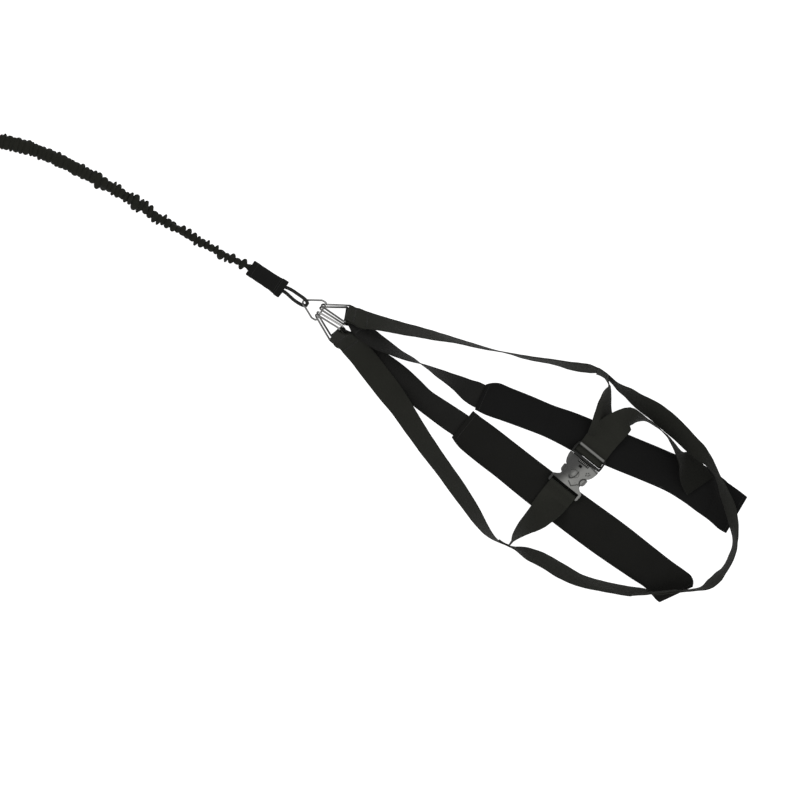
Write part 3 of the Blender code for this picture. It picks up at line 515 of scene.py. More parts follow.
def build_band():
    ctrl, ctrl_r = band_route()
    fine = smooth3(ctrl, 0.004)
    pts, total = resample(fine, 0.00085)
    # radius along the line, read from the nearest control points in order
    marks, j, s = [], 0, 0.0
    acc = [0.0]
    for a, b in zip(pts, pts[1:]):
        acc.append(acc[-1] + (b - a).length)
    for c in ctrl:
        best = min(range(j, min(len(pts), j + 260)),
                   key=lambda q: (pts[q] - c).length_squared)
        j = best
        marks.append(acc[best])

    def radius_at(s, hint):
        while hint < len(marks) - 2 and marks[hint + 1] < s:
            hint += 1
        f = (s - marks[hint]) / max(1e-9, marks[hint + 1] - marks[hint])
        return mixf(ctrl_r[hint], ctrl_r[hint + 1],
                    max(0.0, min(1.0, f))), hint

    visible = marks[14]
    folds = fold_list(total, visible)
    n = 44
    rings, uvs = [], []
    first, hint = 0, 0
    z_up = Vector((0, 0, 1))
    for i, p in enumerate(pts):
        s = acc[i]
        a = pts[max(0, i - 6)]
        b = pts[min(len(pts) - 1, i + 6)]
        t = (b - a).normalized()
        side = t.cross(z_up).normalized()
        up = side.cross(t).normalized()
        r0, hint = radius_at(s, hint)
        while first < len(folds) and folds[first][0] < s - 0.030:
            first += 1
        near = []
        q = first
        while q < len(folds) and folds[q][0] < s + 0.030:
            near.append((q, folds[q]))
            q += 1
        fold_t = step01((0.74 - s / visible) / 0.34)
        plain = max(step01((0.0150 - s) / 0.006),
                    step01((s - total + 0.030) / 0.008))
        ring = []
        for k in range(n):
            phi = 2 * PI * k / n
            best = 0.0
            tight = 0.0
            for fi, (sc, hw, big, lobes, dirn, tilt, tdir, tg) in near:
                d = (s - sc - tilt * r0 * math.cos(phi - tdir)) / hw
                if abs(d) >= 1.0:
                    continue
                form = (1.0 - d * d) ** 0.62
                if lobes == 1:
                    lobe = 0.5 + 0.5 * math.cos(phi - dirn)
                else:
                    lobe = 0.5 + 0.5 * math.cos(2 * (phi - dirn))
                lobe += 0.16 * math.sin(5 * phi + fi)
                base = mixf(0.42, 0.16, tg)
                h = big * form * (base + (1 - base) * max(0.0, lobe))
                if h > best:
                    best, tight = h, tg
            low = mixf(0.74, 0.53, fold_t)
            high = mixf(1.14, 1.47, fold_t)
            r = r0 * mixf(low, high, best)
            r = mixf(r, r0 * 0.80, plain)
            v = noise.noise(Vector((s * 260, math.cos(phi) * 1.9,
                                    math.sin(phi) * 1.9)))
            r += 0.00034 * v * (1 - plain)
            q = p + side * r * math.cos(phi) + up * r * math.sin(phi)
            if q.z < 0.0003:
                q.z = 0.0003
            ring.append(q)
            uvs.append((s, phi * 0.011))
        rings.append(ring)
    uvs += [(0.0, 0.0), (total, 0.0)]
    verts, faces = skin(rings, True)
    faces = [tuple(reversed(f)) for f in faces]
    mat = cloth_material("band_sleeve", (0.0082, 0.0084, 0.0064),
                         thread=0.0011, sheen=0.03, spread=0.30)
    ob = add_mesh("band_sleeve", verts, faces, mat, uvs)
    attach(ob, "elastic")
    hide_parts("band", "band_coil")
    line, _ = resample(fine, 0.006)
    return ob, line, total


# ------------------------------------------------------------ strap paths
LINK_MID = G(321.5, 311.75, 0.0245)
S_DIR = Vector((-0.513, -0.858, 0.0)).normalized()   # across the ring fan
T_DIR = Vector((0.858, -0.513, 0.0)).normalized()    # from link to webbing
FAN_ORIGIN = G(352.0, 306.0)
RINGS = [
    ("ring_1", -0.0102, 0.0140, 0.0262, -52.5),
    ("ring_2", -0.0051, 0.0186, 0.0198, -52.5),
    ("ring_3", 0.0052, 0.0474, 0.0215, 59.0),
    ("ring_4", 0.0103, 0.0538, 0.0278, 59.0),
]
BUCKLE_C = (565.0, 485.6)  # fixed bar centre line crosses the buckle axis
BUCKLE_Z = 0.0114


def smooth(rows, step):
    """Rows (x, y, channel, ...) in metres -> evenly spaced smooth rows.

    Plan positions follow a cubic through the rows; the other channels are
    monotone between rows, so a roll or a height never overshoots.
    """
    n = len(rows)
    width = len(rows[0])
    h = [max(1e-6, math.hypot(rows[i + 1][0] - rows[i][0],
                              rows[i + 1][1] - rows[i][1]))
         for i in range(n - 1)]
    slope = [[(rows[i + 1][c] - rows[i][c]) / h[i] for c in range(width)]
             for i in range(n - 1)]
    tang = []
    for i in range(n):
        row = []
        for c in range(width):
            if i == 0:
                row.append(slope[0][c])
            elif i == n - 1:
                row.append(slope[-1][c])
            else:
                a, b = slope[i - 1][c], slope[i][c]
                if c < 2:
                    row.append((a * h[i] + b * h[i - 1]) / (h[i] + h[i - 1]))
                elif a * b <= 0:
                    row.append(0.0)
                else:
                    row.append(2 * a * b / (a + b))
        tang.append(row)
    out = []
    for i in range(n - 1):
        count = max(1, int(round(h[i] / step)))
        for k in range(count + (1 if i == n - 2 else 0)):
            t = k / count
            t2, t3 = t * t, t * t * t
            out.append([(2 * t3 - 3 * t2 + 1) * rows[i][c]
                        + (t3 - 2 * t2 + t) * h[i] * tang[i][c]
                        + (3 * t2 - 2 * t3) * rows[i + 1][c]
                        + (t3 - t2) * h[i] * tang[i + 1][c]
                        for c in range(width)])
    return out


def frames(stations, width, step=0.006):
    """Stations (grid x, grid y, roll degrees, height of the support in mm).

    The lower edge of the webbing stands on its support.  Returns frames
    (centre, width vector, face normal).
    """
    rows = []
    for s in stations:
        p = G(s[0], s[1])
        rows.append((p.x, p.y, math.radians(s[2]), s[3] * MM))
    rows = smooth(rows, step)
    pts = []
    for x, y, roll, base in rows:
        z = (base + FLOOR_GAP + width / 2 * abs(math.sin(roll))
             + WEB_THICK / 2 * abs(math.cos(roll)))
        pts.append(Vector((x, y, z)))
    out = []
    for i, p in enumerate(pts):
        a = pts[max(0, i - 1)]
        b = pts[min(len(pts) - 1, i + 1)]
        t = (b - a).normalized()
        flat = Vector((t.x, t.y, 0)).normalized()
        left = Vector((-flat.y, flat.x, 0))
        roll = rows[i][2]
        w = math.cos(roll) * left + math.sin(roll) * Vector((0, 0, 1))
        w = (w - w.dot(t) * t).normalized()
        out.append((p, w, t.cross(w).normalized()))
    return out


def support_for(z, roll_deg, width):
    """Support height in mm that puts the centre of the webbing at z."""
    r = math.radians(roll_deg)
    return (z - FLOOR_GAP - width / 2 * abs(math.sin(r))
            - WEB_THICK / 2 * abs(math.cos(r))) / MM


def dist_along(fr):
    d = [0.0]
    for i in range(1, len(fr)):
        d.append(d[-1] + (fr[i][0] - fr[i - 1][0]).length)
    return d


def ring_end(fr, radius=LOOP_R, back=SEWN_BACK, flip=1.0, half=None):
    """Wrap the start of a webbing path round a bar that stands at its first
    frame: sewn-back layer, turn round the bar, then the path itself."""
    lay = WEB_THICK / 2 + FIT / 2
    d = dist_along(fr)

    def off(s):
        k = max(0.0, 1.0 - s / 0.011)
        k = k * k * (3 - 2 * k)
        return lay + (radius - lay) * k

    p0, w0, n0 = fr[0]
    t0 = (fr[1][0] - fr[0][0]).normalized()
    tail = [(p - n * off(s) * flip, w, n)
            for (p, w, n), s in zip(fr, d) if s <= back]
    tail.reverse()
    turn = []
    for k in range(1, 8):
        a = PI * k / 8
        turn.append((p0 - n0 * flip * radius * math.cos(a)
                     - t0 * radius * math.sin(a), w0, n0))
    main = [(p + n * off(s) * flip, w, n) for (p, w, n), s in zip(fr, d)]
    return tail + turn + main


def ring_frame(spec):
    """Apex point on the link bar, base middle, axis, base direction."""
    _, apex_s, base_s, base_z, roll = spec
    apex = LINK_MID + S_DIR * apex_s
    flat = (apex - FAN_ORIGIN)
    s_a, t_a = flat.dot(S_DIR), flat.dot(T_DIR)
    ds, dz = base_s - s_a, base_z - apex.z
    dt = math.sqrt(RING_REACH ** 2 - ds * ds - dz * dz)
    base = apex + S_DIR * ds + T_DIR * dt + Vector((0, 0, dz))
    axis = (base - apex).normalized()
    flat = Vector((axis.x, axis.y, 0)).normalized()
    left = Vector((-flat.y, flat.x, 0))
    r = math.radians(roll)
    w = math.cos(r) * left + math.sin(r) * Vector((0, 0, 1))
    w = (w - w.dot(axis) * axis).normalized()
    return apex, base, axis, w


def ring_station(i):
    """Webbing station at the middle of a ring's base bar."""
    _, base, _, _ = ring_frame(RINGS[i])
    roll = RINGS[i][4]
    return (base.x / GRID + GRID_X0, GRID_Y0 - base.y / GRID, roll,
            support_for(base.z, roll, WEB_WIDTH))


def strap_start(i, dist=4.0):
    """Second station: a little further along the ring's own axis."""
    _, base, axis, _ = ring_frame(RINGS[i])
    p = base + axis * dist * GRID
    roll = RINGS[i][4]
    return (p.x / GRID + GRID_X0, GRID_Y0 - p.y / GRID, roll,
            support_for(p.z, roll, WEB_WIDTH))


SIDE_UPPER = [
    (362, 319.3, -46, 7.4), (375, 322.6, -51, 4.0), (390, 326.2, -56, 1.5),
    (402, 329.2, -60, 0), (420, 333, -65, 0), (440, 337.7, -71, 0),
    (460, 342.3, -78, 0), (480, 347.6, -83, 0), (504, 352.8, -90, 0),
    (529, 358.5, -97, 0), (555, 362.8, -103, 0), (569.5, 366.2, -107, 0),
    (580, 368.1, -110, 0), (588, 369.2, -110, 0), (597, 371.2, -102, 0),
    (603, 374.2, -99, 0), (608, 378, -98, 0), (612.5, 382.4, -98, 0),
    (620, 388.5, -106, 0), (629, 394, -115, 0), (636, 399.5, -121, 0),
    (645, 405.5, -130, 0), (655, 412, -136, 1), (665, 420, -138, 5),
    (678, 432, -134, 12), (690, 444, -132, 17.5), (700, 453.3, -124, 19.0),
    (706.5, 460.5, -112, 19.5), (711.5, 468, -104, 19), (716, 476, -99, 18),
    (721.2, 487, -103, 14), (725.0, 497, -110, 9), (729.6, 510, -113, 5.5),
    (732.4, 522, -110, 4.5), (733.4, 532, -104, 3), (733.8, 541.5, -98, 0.5),
    (732.6, 549.5, -99, 0), (730.0, 557, -101, 0), (727.0, 563.5, -101, 0),
    (722.8, 569.8, -102, 0), (717, 576.3, -109, 0), (710.4, 582.3, -109, 0),
    (704.6, 586.4, -101, 0), (699, 588.2, -94, 0), (692, 589.2, -92, 2.4),
    (684, 590.0, -92, 4.2), (677, 590.8, -92, 5.2), (668, 591.8, -92, 6.4),
    (658, 592.7, -92, 8.2), (652, 593.2, -92, 8.8),
]
SIDE_LOWER = [
    (346.8, 341.9, 45, 6.3), (352.8, 347.0, 32, 5.5),
    (359.4, 353.2, 18, 4.6), (369.6, 366, 6, 3.4), (384.6, 385.3, 4, 2.2),
    (400, 405.5, 26, 0.6), (413.7, 426, 34, 0), (428.6, 448, 42, 0),
    (444, 468.7, 48, 0), (459.4, 490.5, 51, 0), (474.4, 512.5, 58, 0),
    (482, 524.0, 66, 0), (490, 534.0, 76, 0), (498, 540.6, 86, 0),
    (507, 544.8, 90, 0), (514, 547.2, 94, 0), (521, 549.9, 107, 0),
    (529, 553.4, 118, 0),
    (540, 558, 124, 0), (560, 569.8, 126, 0), (580, 579.6, 119, 0),
    (600, 585.2, 114, 0), (620, 589.0, 112, 0), (633, 590.8, 110, 0),
    (639, 591.5, 104, 5.0), (645, 592.0, 97, 10.6), (650, 591.9, 93, 10.6),
    (658, 591.35, 92, 8.8),
    (668, 590.4, 92, 6.4), (677, 589.4, 92, 5.2),
]
SHOULDER_UPPER = [
    (362, 332.0, -50, 4.0), (370, 337.2, -49, 4.0), (378, 342.8, -52, 3.4),
    (389, 348.8, -62, 2.0), (400, 354.9, -71, 0.8), (411, 359.9, -78, 0),
    (421, 364.6, -90, 0), (430, 369, -99, 0), (439.7, 374.3, -110, 0),
    (449.6, 379.4, -119, 0), (459.5, 384.6, -132, 0),
    (467, 389.2, -147, 0.6), (473.5, 392.8, -166, 2.4),
    (479.5, 395.9, -178, 3.8), (485, 398.1, -180, 5.2),
    (490, 399.8, -180, 8.0), (497, 401.9, -180, 8.0),
    (512, 407.2, -180, 8.0), (535, 415.8, -180, 8.0),
]
SHOULDER_LOWER = [
    (345.5, 338.4, 36, 2.5), (353, 344.4, 14, 0.8), (364, 352.7, 3, 0),
    (379, 363.0, 2, 0), (396.5, 375.6, 4, 0), (411, 387.9, 16, 0),
    (425, 400.4, 25, 0), (434.7, 407.4, 20, 0), (444, 414, 12, 0.2),
    (452, 419.6, 4, 1.0), (458, 423.6, 0, 2.0), (463.5, 427.6, 0, 3.6),
    (468.5, 431.4, 0, 6.2), (475, 436.4, 0, 6.2), (492, 449, 0, 6.2),
    (509, 462.2, 0, 6.2),
]
PAD_UPPER = [
    (486.0, 384.4, 474.6, 409.6, 8.6), (490.5, 383.2, 478.2, 411.4, 10.2),
    (497.5, 382.9, 484.5, 414.6, 11), (510.6, 387.7, 500, 420.2, 11),
    (531, 395.8, 522, 428.0, 11), (555, 406, 543, 436.2, 11),
    (573, 412, 557, 443, 11), (592, 419.5, 576, 453, 11),
    (610, 427, 596, 461.5, 11), (628, 434.5, 613, 468.8, 11),
    (655, 445.5, 641, 480.2, 11), (682, 457, 667, 491.8, 11),
    (701.2, 463.9, 684.5, 502.6, 11), (712.4, 470.4, 695.5, 510.8, 10.6),
    (717.4, 473.8, 702, 515.4, 8.6), (721.6, 477.3, 706.6, 518.6, 4.2),
    (728.6, 483.2, 712.0, 523.0, 3.2), (738.6, 490.2, 718.2, 528.6, 3.1),
    (747.4, 497.0, 726.0, 533.2, 3.0),
]
PAD_LOWER = [
    (473.0, 410.8, 451.6, 437.2, 8.6), (476.6, 413.8, 454.4, 441.6, 10.2),
    (481.4, 417.6, 458.8, 447.2, 11), (486.8, 421.4, 464, 452, 11),
    (502, 432.6, 480, 464.8, 11), (516.9, 444.2, 495.5, 476.6, 11),
    (535, 458.4, 513, 491, 11), (552.1, 471.5, 530.7, 505.2, 11),
    (586, 496.2, 560, 528, 11), (620, 520.9, 595, 554, 11),
    (655, 548, 630, 577.6, 11), (674, 562.8, 644.6, 587.4, 10.8),
    (684.6, 570.4, 649.2, 592.2, 8.8), (691.4, 576.2, 652.9, 596.2, 5.4),
    (693.4, 581.4, 656.2, 600.0, 3.6), (692.8, 586.8, 659.4, 602.4, 3.0),
]
U_DIR = Vector((0.627, 0.778, 0.0)).normalized()
V_DIR = Vector((U_DIR.y, -U_DIR.x, 0.0))
BAR_FIX_U = -0.0069
BAR_FIX_Z = BUCKLE_Z + 0.0068
LADDER_IN = (0.0584, BUCKLE_Z + 0.0064)
BAR_R = 0.0018
CHEST_FIXED = [
    (541.3, 513.4, 33, 10.6), (536.3, 518.0, 41, 7.0),
    (531.2, 522.4, 50, 3.0), (526.5, 526.6, 58, 0.6),
    (519.5, 533.0, 71, 0), (514.8, 537.9, 81, 0), (512.6, 541.0, 88, 0),
]
CHEST_UPPER = [
    (601.2, 438.6, 8, 11.6), (603.0, 427, 28, 11.4),
    (603.4, 419.5, 42, 9.0), (603.6, 412.6, 55, 4.5), (605.3, 398.9, 68, 0),
    (607.0, 391.2, 76, 0), (609.0, 386.4, 86, 0),
]
TAIL = [
    (600.6, 441.2, 3, 15.0), (606.5, 434.4, 10, 17.5),
    (612.2, 429.0, 20, 19.5), (617.6, 424.8, 28, 18.5),
    (623.4, 420.6, 38, 15.5), (629.0, 417.6, 50, 11.0),
    (633.4, 417.9, 61, 7.0), (637.6, 417.9, 72, 4.0),
    (642.0, 418.6, 80, 2.5), (646.6, 420.2, 86, 2.0),
    (654.6, 425.2, 88, 2.0), (662.0, 431.4, 92, 2.0),
    (667.4, 436.6, 94, 3.6), (671.6, 442.2, 97, 5.5),
    (676.0, 448.9, 100, 9.0), (680.8, 456.2, 111, 11.7),
    (685.4, 463.6, 132, 12.0), (689.8, 470.8, 150, 12.2),
    (694.4, 478.2, 166, 12.2), (699.6, 486.2, 175, 12.2),
]


def true_start(fr, i):
    """Make the first frames lie exactly in the plane of their ring."""
    _, base, axis, w = ring_frame(RINGS[i])
    out = []
    for p, w1, n1 in fr:
        d = (p - base).length
        if d < 0.0068:
            out.append((base + axis * d, w, axis.cross(w).normalized()))
        else:
            out.append((p, w1, n1))
    return out


def B(u, v, z):
    """Buckle frame (metres) -> world."""
    c = G(*BUCKLE_C)
    p = c + U_DIR * u + V_DIR * v
    return Vector((p.x, p.y, z))


def grid_of(p):
    return p.x / GRID + GRID_X0, GRID_Y0 - p.y / GRID


def flat_support(z):
    return support_for(z, 0.0, CHEST_WIDTH)


def tab(side, x_from, x_to, sign):
    """Sewn end of a chest strap: on the inner face of a side strap, between
    two grid columns, its lower edge level with the side strap's."""
    lay = WEB_THICK / 2 + FIT / 2
    out = []
    for p, w, n in side:
        x = grid_of(p)[0]
        if min(x_from, x_to) <= x <= max(x_from, x_to):
            up = w * sign
            out.append((p - n * lay + up * (CHEST_WIDTH - WEB_WIDTH) / 2,
                        up, n))
    if x_to < x_from:
        out.reverse()
    return out


def near(side, lo, hi, y_lo, y_hi):
    return [f for f in side if lo <= grid_of(f[0])[0] <= hi
            and y_lo <= grid_of(f[0])[1] <= y_hi]



# ----------------------------------------------------------- webbing
EDGE_COLS = [(-1.0, 0.34), (-0.988, 0.78), (-0.955, 1.0), (-0.82, 0.97),
             (-0.55, 0.97), (-0.27, 1.0), (0.0, 1.0), (0.27, 1.0),
             (0.55, 0.97), (0.82, 0.97), (0.955, 1.0), (0.988, 0.78),
             (1.0, 0.34)]


def ribbon_frames(path):
    """Points, width directions, face normals and distances along a path."""
    pts = [f[0] for f in path]
    out, s = [], 0.0
    for i, f in enumerate(path):
        a, b = pts[max(0, i - 1)], pts[min(len(pts) - 1, i + 1)]
        t = (b - a).normalized()
        w = f[1]
        n = t.cross(w).normalized()
        if i:
            s += (pts[i] - pts[i - 1]).length
        out.append((pts[i], w, n, s))
    return out, s


def webbing(name, path, width, mat, sway=0.0, seed=0, creases=(), calm=0.045,
            body="harness", replaces=()):
    """Flat woven webbing with rounded selvages, as a closed ribbon."""
    fr, total = ribbon_frames(path)
    half_w, half_t = width / 2, WEB_THICK / 2
    rings, uvs = [], []
    for p, w, n, s in fr:
        quiet = step01(s / calm) * step01((total - s) / calm)
        ring = []

        def place(v, side, h):
            d = 0.0
            if sway and quiet > 0:
                q = Vector((s * 21 + seed * 7.3, v * 34, seed * 2.1))
                d += sway * quiet * noise.noise(q)
                q = Vector((s * 75 + seed * 3.1, v * 60, 4 + seed))
                d += 0.34 * sway * quiet * noise.noise(q)
            for s0, v0, ang, height, wide in creases:
                ds, dv = s - s0, v - v0
                across = ds * math.cos(ang) + dv * math.sin(ang)
                along = -ds * math.sin(ang) + dv * math.cos(ang)
                k = math.exp(-(across / wide) ** 2)
                k *= step01(1.5 - abs(along) / 0.012)
                d += height * k
            q = p + w * v + n * (side * h * half_t + d)
            if q.z < 0.0003:
                q.z = 0.0003
            ring.append(q)
            uvs.append((s, v + half_w + (0.0 if side > 0 else 0.0007)))

        for c, h in EDGE_COLS:
            place(c * half_w, 1.0, h)
        for c, h in reversed(EDGE_COLS):
            place(c * half_w, -1.0, h)
        rings.append(ring)
    verts, faces = skin(rings, True)
    uvs += [(0.0, 0.0), (total, 0.0)]
    ob = add_mesh(name, verts, faces, mat, uvs)
    if replaces:
        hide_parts(*replaces)
    return ob, total, fr


def thread_mat():
    mat, nt, bsdf = principled("thread", (0.010, 0.010, 0.0095), 0.62,
                               spec=0.20)
    return mat


class Stitches:
    """Rows of small thread stitches, gathered into one mesh."""

    def __init__(self):
        self.verts, self.faces = [], []

    def one(self, a, b, up, r=0.00036):
        d = b - a
        length = d.length
        if length < 1e-6:
            return
        d /= length
        side = d.cross(up).normalized()
        up = side.cross(d).normalized()
        base = len(self.verts)
        for f, q, lift in ((0.0, 0.35, -0.25), (0.22, 0.95, 0.30),
                           (0.78, 0.95, 0.30), (1.0, 0.35, -0.25)):
            for k in range(6):
                a6 = 2 * PI * k / 6
                self.verts.append(a + d * length * f
                                  + side * r * q * math.cos(a6)
                                  + up * r * (q * 0.8 * math.sin(a6) + lift))
        for i in range(3):
            for k in range(6):
                m, q = base + i * 6 + k, base + i * 6 + (k + 1) % 6
                self.faces.append((m, m + 6, q + 6, q))
        self.faces.append(tuple(base + k for k in range(6)))
        self.faces.append(tuple(base + 18 + k for k in range(5, -1, -1)))

    def row(self, pts, ups, pitch=0.0030, gap=0.16):
        """A run of stitches along a line of points."""
        line, total = resample(pts, pitch)
        for i in range(len(line) - 1):
            f = i / max(1, len(line) - 1)
            up = ups[min(len(ups) - 1, int(f * (len(ups) - 1) + 0.5))]
            a, b = line[i], line[i + 1]
            self.one(a.lerp(b, gap / 2), a.lerp(b, 1 - gap / 2), up)

    def tack(self, p, w, t, up, width, depth=0.0030, n=None):
        """Dense zigzag across the webbing."""
        n = n or int(width / 0.0011)
        last = None
        for i in range(n + 1):
            v = (i / n - 0.5) * width
            q = p + w * v + t * (depth / 2 if i % 2 else -depth / 2)
            if last is not None:
                self.one(last, q, up, 0.00030)
            last = q

    def mesh(self, name, mat, body):
        ob = add_mesh(name, self.verts, self.faces, mat)
        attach(ob, body)
        return ob


def frame_at(fr, s):
    for i in range(len(fr) - 1):
        if fr[i + 1][3] >= s:
            a, b = fr[i], fr[i + 1]
            f = (s - a[3]) / max(1e-9, b[3] - a[3])
            return (a[0].lerp(b[0], f), a[1].lerp(b[1], f).normalized(),
                    a[2].lerp(b[2], f).normalized(),
                    (b[0] - a[0]).normalized())
    a = fr[-1]
    return a[0], a[1], a[2], (fr[-1][0] - fr[-2][0]).normalized()


def tack_on(st, fr, s, width, where=1, lift=None):
    """Bar tack on the outer face of a webbing at distance s."""
    p, w, n, t = frame_at(fr, s)
    n = n * where
    st.tack(p + n * (WEB_THICK / 2 + 0.00022), w, t, n, width - 0.0050)


def box_on(st, fr, s0, s1, width, where=1, cross=True):
    """Box stitch with a cross on the outer face between two distances."""
    v = width / 2 - 0.0036

    def q(s, k):
        p, w, n, _ = frame_at(fr, s)
        n = n * where
        return p + w * k + n * (WEB_THICK / 2 + 0.00012), n

    def run(sa, va, sb, vb):
        m = 8
        pts, ups = [], []
        for i in range(m + 1):
            a, n = q(mixf(sa, sb, i / m), mixf(va, vb, i / m))
            pts.append(a)
            ups.append(n)
        st.row(pts, ups)

    run(s0, -v, s1, -v)
    run(s0, v, s1, v)
    run(s0, -v, s0, v)
    run(s1, -v, s1, v)
    if cross:
        run(s0, -v, s1, v)
        run(s0, v, s1, -v)


def build_webbing():
    mats = {
        "side": webbing_material("webbing_side", (0.0094, 0.0096, 0.0078)),
        "low": webbing_material("webbing_low", (0.0088, 0.0090, 0.0073)),
        "shoulder": webbing_material("webbing_shoulder",
                                     (0.0058, 0.0058, 0.0053)),
        "chest": webbing_material("webbing_chest",
                                  (0.0100, 0.0102, 0.0083), rib=0.0021),
    }
    st = Stitches()
    made = {}
    step = 0.003
    up = frames([ring_station(0), strap_start(0, 2), strap_start(0, 5)]
                + SIDE_UPPER, WEB_WIDTH, step)
    low = frames([ring_station(3), strap_start(3, 2), strap_start(3, 4)]
                 + SIDE_LOWER, WEB_WIDTH, step)
    su = frames([ring_station(1), strap_start(1, 2), strap_start(1, 5)]
                + SHOULDER_UPPER, WEB_WIDTH, step)
    sl = frames([ring_station(2), strap_start(2, 2), strap_start(2, 4)]
                + SHOULDER_LOWER, WEB_WIDTH, step)
    for name, fr, i, mat, sway, held in (
            ("side_webbing_upper", up, 0, "side", 0.0011, "laid"),
            ("side_webbing_lower", low, 3, "low", 0.0010, "laid"),
            ("shoulder_webbing_upper", su, 1, "shoulder", 0.0005, "laid"),
            ("shoulder_webbing_lower", sl, 2, "shoulder", 0.0005, "laid")):
        path = ring_end(true_start(fr, i))
        node = name.replace("_webbing", "_strap")
        ob, total, f = webbing(name, path, WEB_WIDTH, mats[mat], sway, i + 1,
                               replaces=(node,), calm=0.085)
        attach(ob, "harness")
        made[name] = (ob, total, f)
        back = SEWN_BACK + PI * LOOP_R
        for s in (back + 0.0085, back + SEWN_BACK - 0.0045):
            tack_on(st, f, s, WEB_WIDTH)
        for s in (SEWN_BACK - 0.0085, 0.0045):
            tack_on(st, f, s, WEB_WIDTH)

    # fixed chest strap
    bar = B(BAR_FIX_U, 0, BAR_FIX_Z)
    rows = []
    for d, z in ((0.0, BAR_FIX_Z), (0.008, BAR_FIX_Z - 0.0022),
                 (0.018, 0.01345), (0.026, 0.0133)):
        g = grid_of(bar - U_DIR * d)
        rows.append((g[0], g[1], 0.0 if d < 0.02 else 8.0,
                     flat_support(z)))
    rows[-1] = (rows[-1][0], rows[-1][1], 9.0, 11.5)
    fr = frames(rows + CHEST_FIXED, CHEST_WIDTH, step)
    body = ring_end(fr, radius=0.0023 + WEB_THICK / 2, back=0.024)
    end = tab(near(low, 497, 509.5, 530, 560), 510, 496, 1.0)
    ob, total, f = webbing("chest_webbing_fixed", body + end, CHEST_WIDTH,
                           mats["chest"], 0.0005, 7, calm=0.055,
                           replaces=("chest_strap_fixed",))
    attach(ob, "harness")
    made["chest_fixed"] = (ob, total, f)

    # adjustable chest strap with its free tail
    g = grid_of(B(0.0800, 0, 0))
    g2 = grid_of(B(0.0740, 0, 0))
    rows = [(g2[0], g2[1], 0, flat_support(0.0126)),
            (g[0], g[1], 1, flat_support(0.0126))]
    fr = frames(rows + CHEST_UPPER, CHEST_WIDTH, step)
    end = tab(near(up, 596.5, 607.5, 360, 390), 608, 596, -1.0)
    path = [(p, -w, n) for p, w, n in reversed(end)]
    path += [(p, -w, n) for p, w, n in reversed(fr)]
    u1, z1 = LADDER_IN
    r = BAR_R + FIT + 0.0001 + WEB_THICK / 2
    for u, z in ((0.0690, 0.0126), (0.0645, 0.0127), (0.0612, 0.0133)):
        path.append((B(u, 0, z), V_DIR, None))
    for k in range(0, 17):
        a = math.radians(-80 - 12.5 * k)
        path.append((B(u1 + r * math.cos(a), 0, z1 + r * math.sin(a)),
                     V_DIR, None))
    for u, z in ((0.0622, 0.0187), (0.0640, 0.0171), (0.0662, 0.0161),
                 (0.0690, 0.0158), (0.0720, 0.0156)):
        path.append((B(u, 0, z), V_DIR, None))
    g = grid_of(B(0.0760, 0, 0))
    fr = frames([(g[0], g[1], 0, flat_support(0.0156))] + TAIL,
                CHEST_WIDTH, step)
    path += [(p, -w, n) for p, w, n in fr]
    tail = webbing_material("webbing_tail", (0.0100, 0.0102, 0.0083),
                            rib=0.0021, shaded_end=True)
    ob, total, f = webbing("chest_webbing_adjust", path, CHEST_WIDTH,
                           tail, 0.0004, 9, calm=0.060,
                           replaces=("chest_strap_adjust",))
    # Painted shade on the tail: darker towards its free end, fading in from 98
    # mm to 46 mm before the end.
    end_shade = ob.data.attributes.new("end_shade", "FLOAT", "POINT")
    uv = ob.data.uv_layers.active.data
    for loop in ob.data.loops:
        s = uv[loop.index].uv.x
        end_shade.data[loop.vertex_index].value = \
            1.0 - 0.72 * step01((s - total + 0.098) / 0.052)
    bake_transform(ob)
    made["chest_adjust"] = (ob, total, f)
    return made, st


# --------------------------------------------------------------- shoulder pads
TOP_V = (-0.992, -0.965, -0.92, -0.855, -0.77, -0.67, -0.56, -0.44, -0.32,
         -0.21, -0.10, 0.0, 0.10, 0.21, 0.32, 0.44, 0.56, 0.67, 0.77, 0.855,
         0.92, 0.965, 0.992)
LOW_V = (0.975, 0.90, 0.72, 0.48, 0.24, 0.0, -0.24, -0.48, -0.72, -0.90,
         -0.975)


def pad_section(a, b, h, drop=0.0):
    """Points round a flat sleeve: left edge, over the top, back below."""
    mid, half = (a + b) / 2, (a - b).length / 2
    side = (a - b).normalized()
    top = h - drop
    zc = 0.44 * top
    p = 4.4
    out = []
    for v in (-1.0,) + TOP_V + (1.0,):
        f = max(0.0, 1 - abs(v) ** p) ** (1 / p)
        out.append(mid + side * half * v + Vector((0, 0, zc + (top - zc) * f)))
    for v in LOW_V:
        f = max(0.0, 1 - abs(v) ** p) ** (1 / p)
        out.append(mid + side * half * v
                   + Vector((0, 0, max(0.0003, zc * (1 - f)))))
    return out


def seg_distance(q, a, b):
    """Signed distance from a line in plan, and how far past its ends."""
    d = Vector((b.x - a.x, b.y - a.y))
    length = d.length
    d /= length
    r = Vector((q.x - a.x, q.y - a.y))
    along = r.dot(d)
    over = max(0.0, -along, along - length)
    return r.x * d.y - r.y * d.x, over


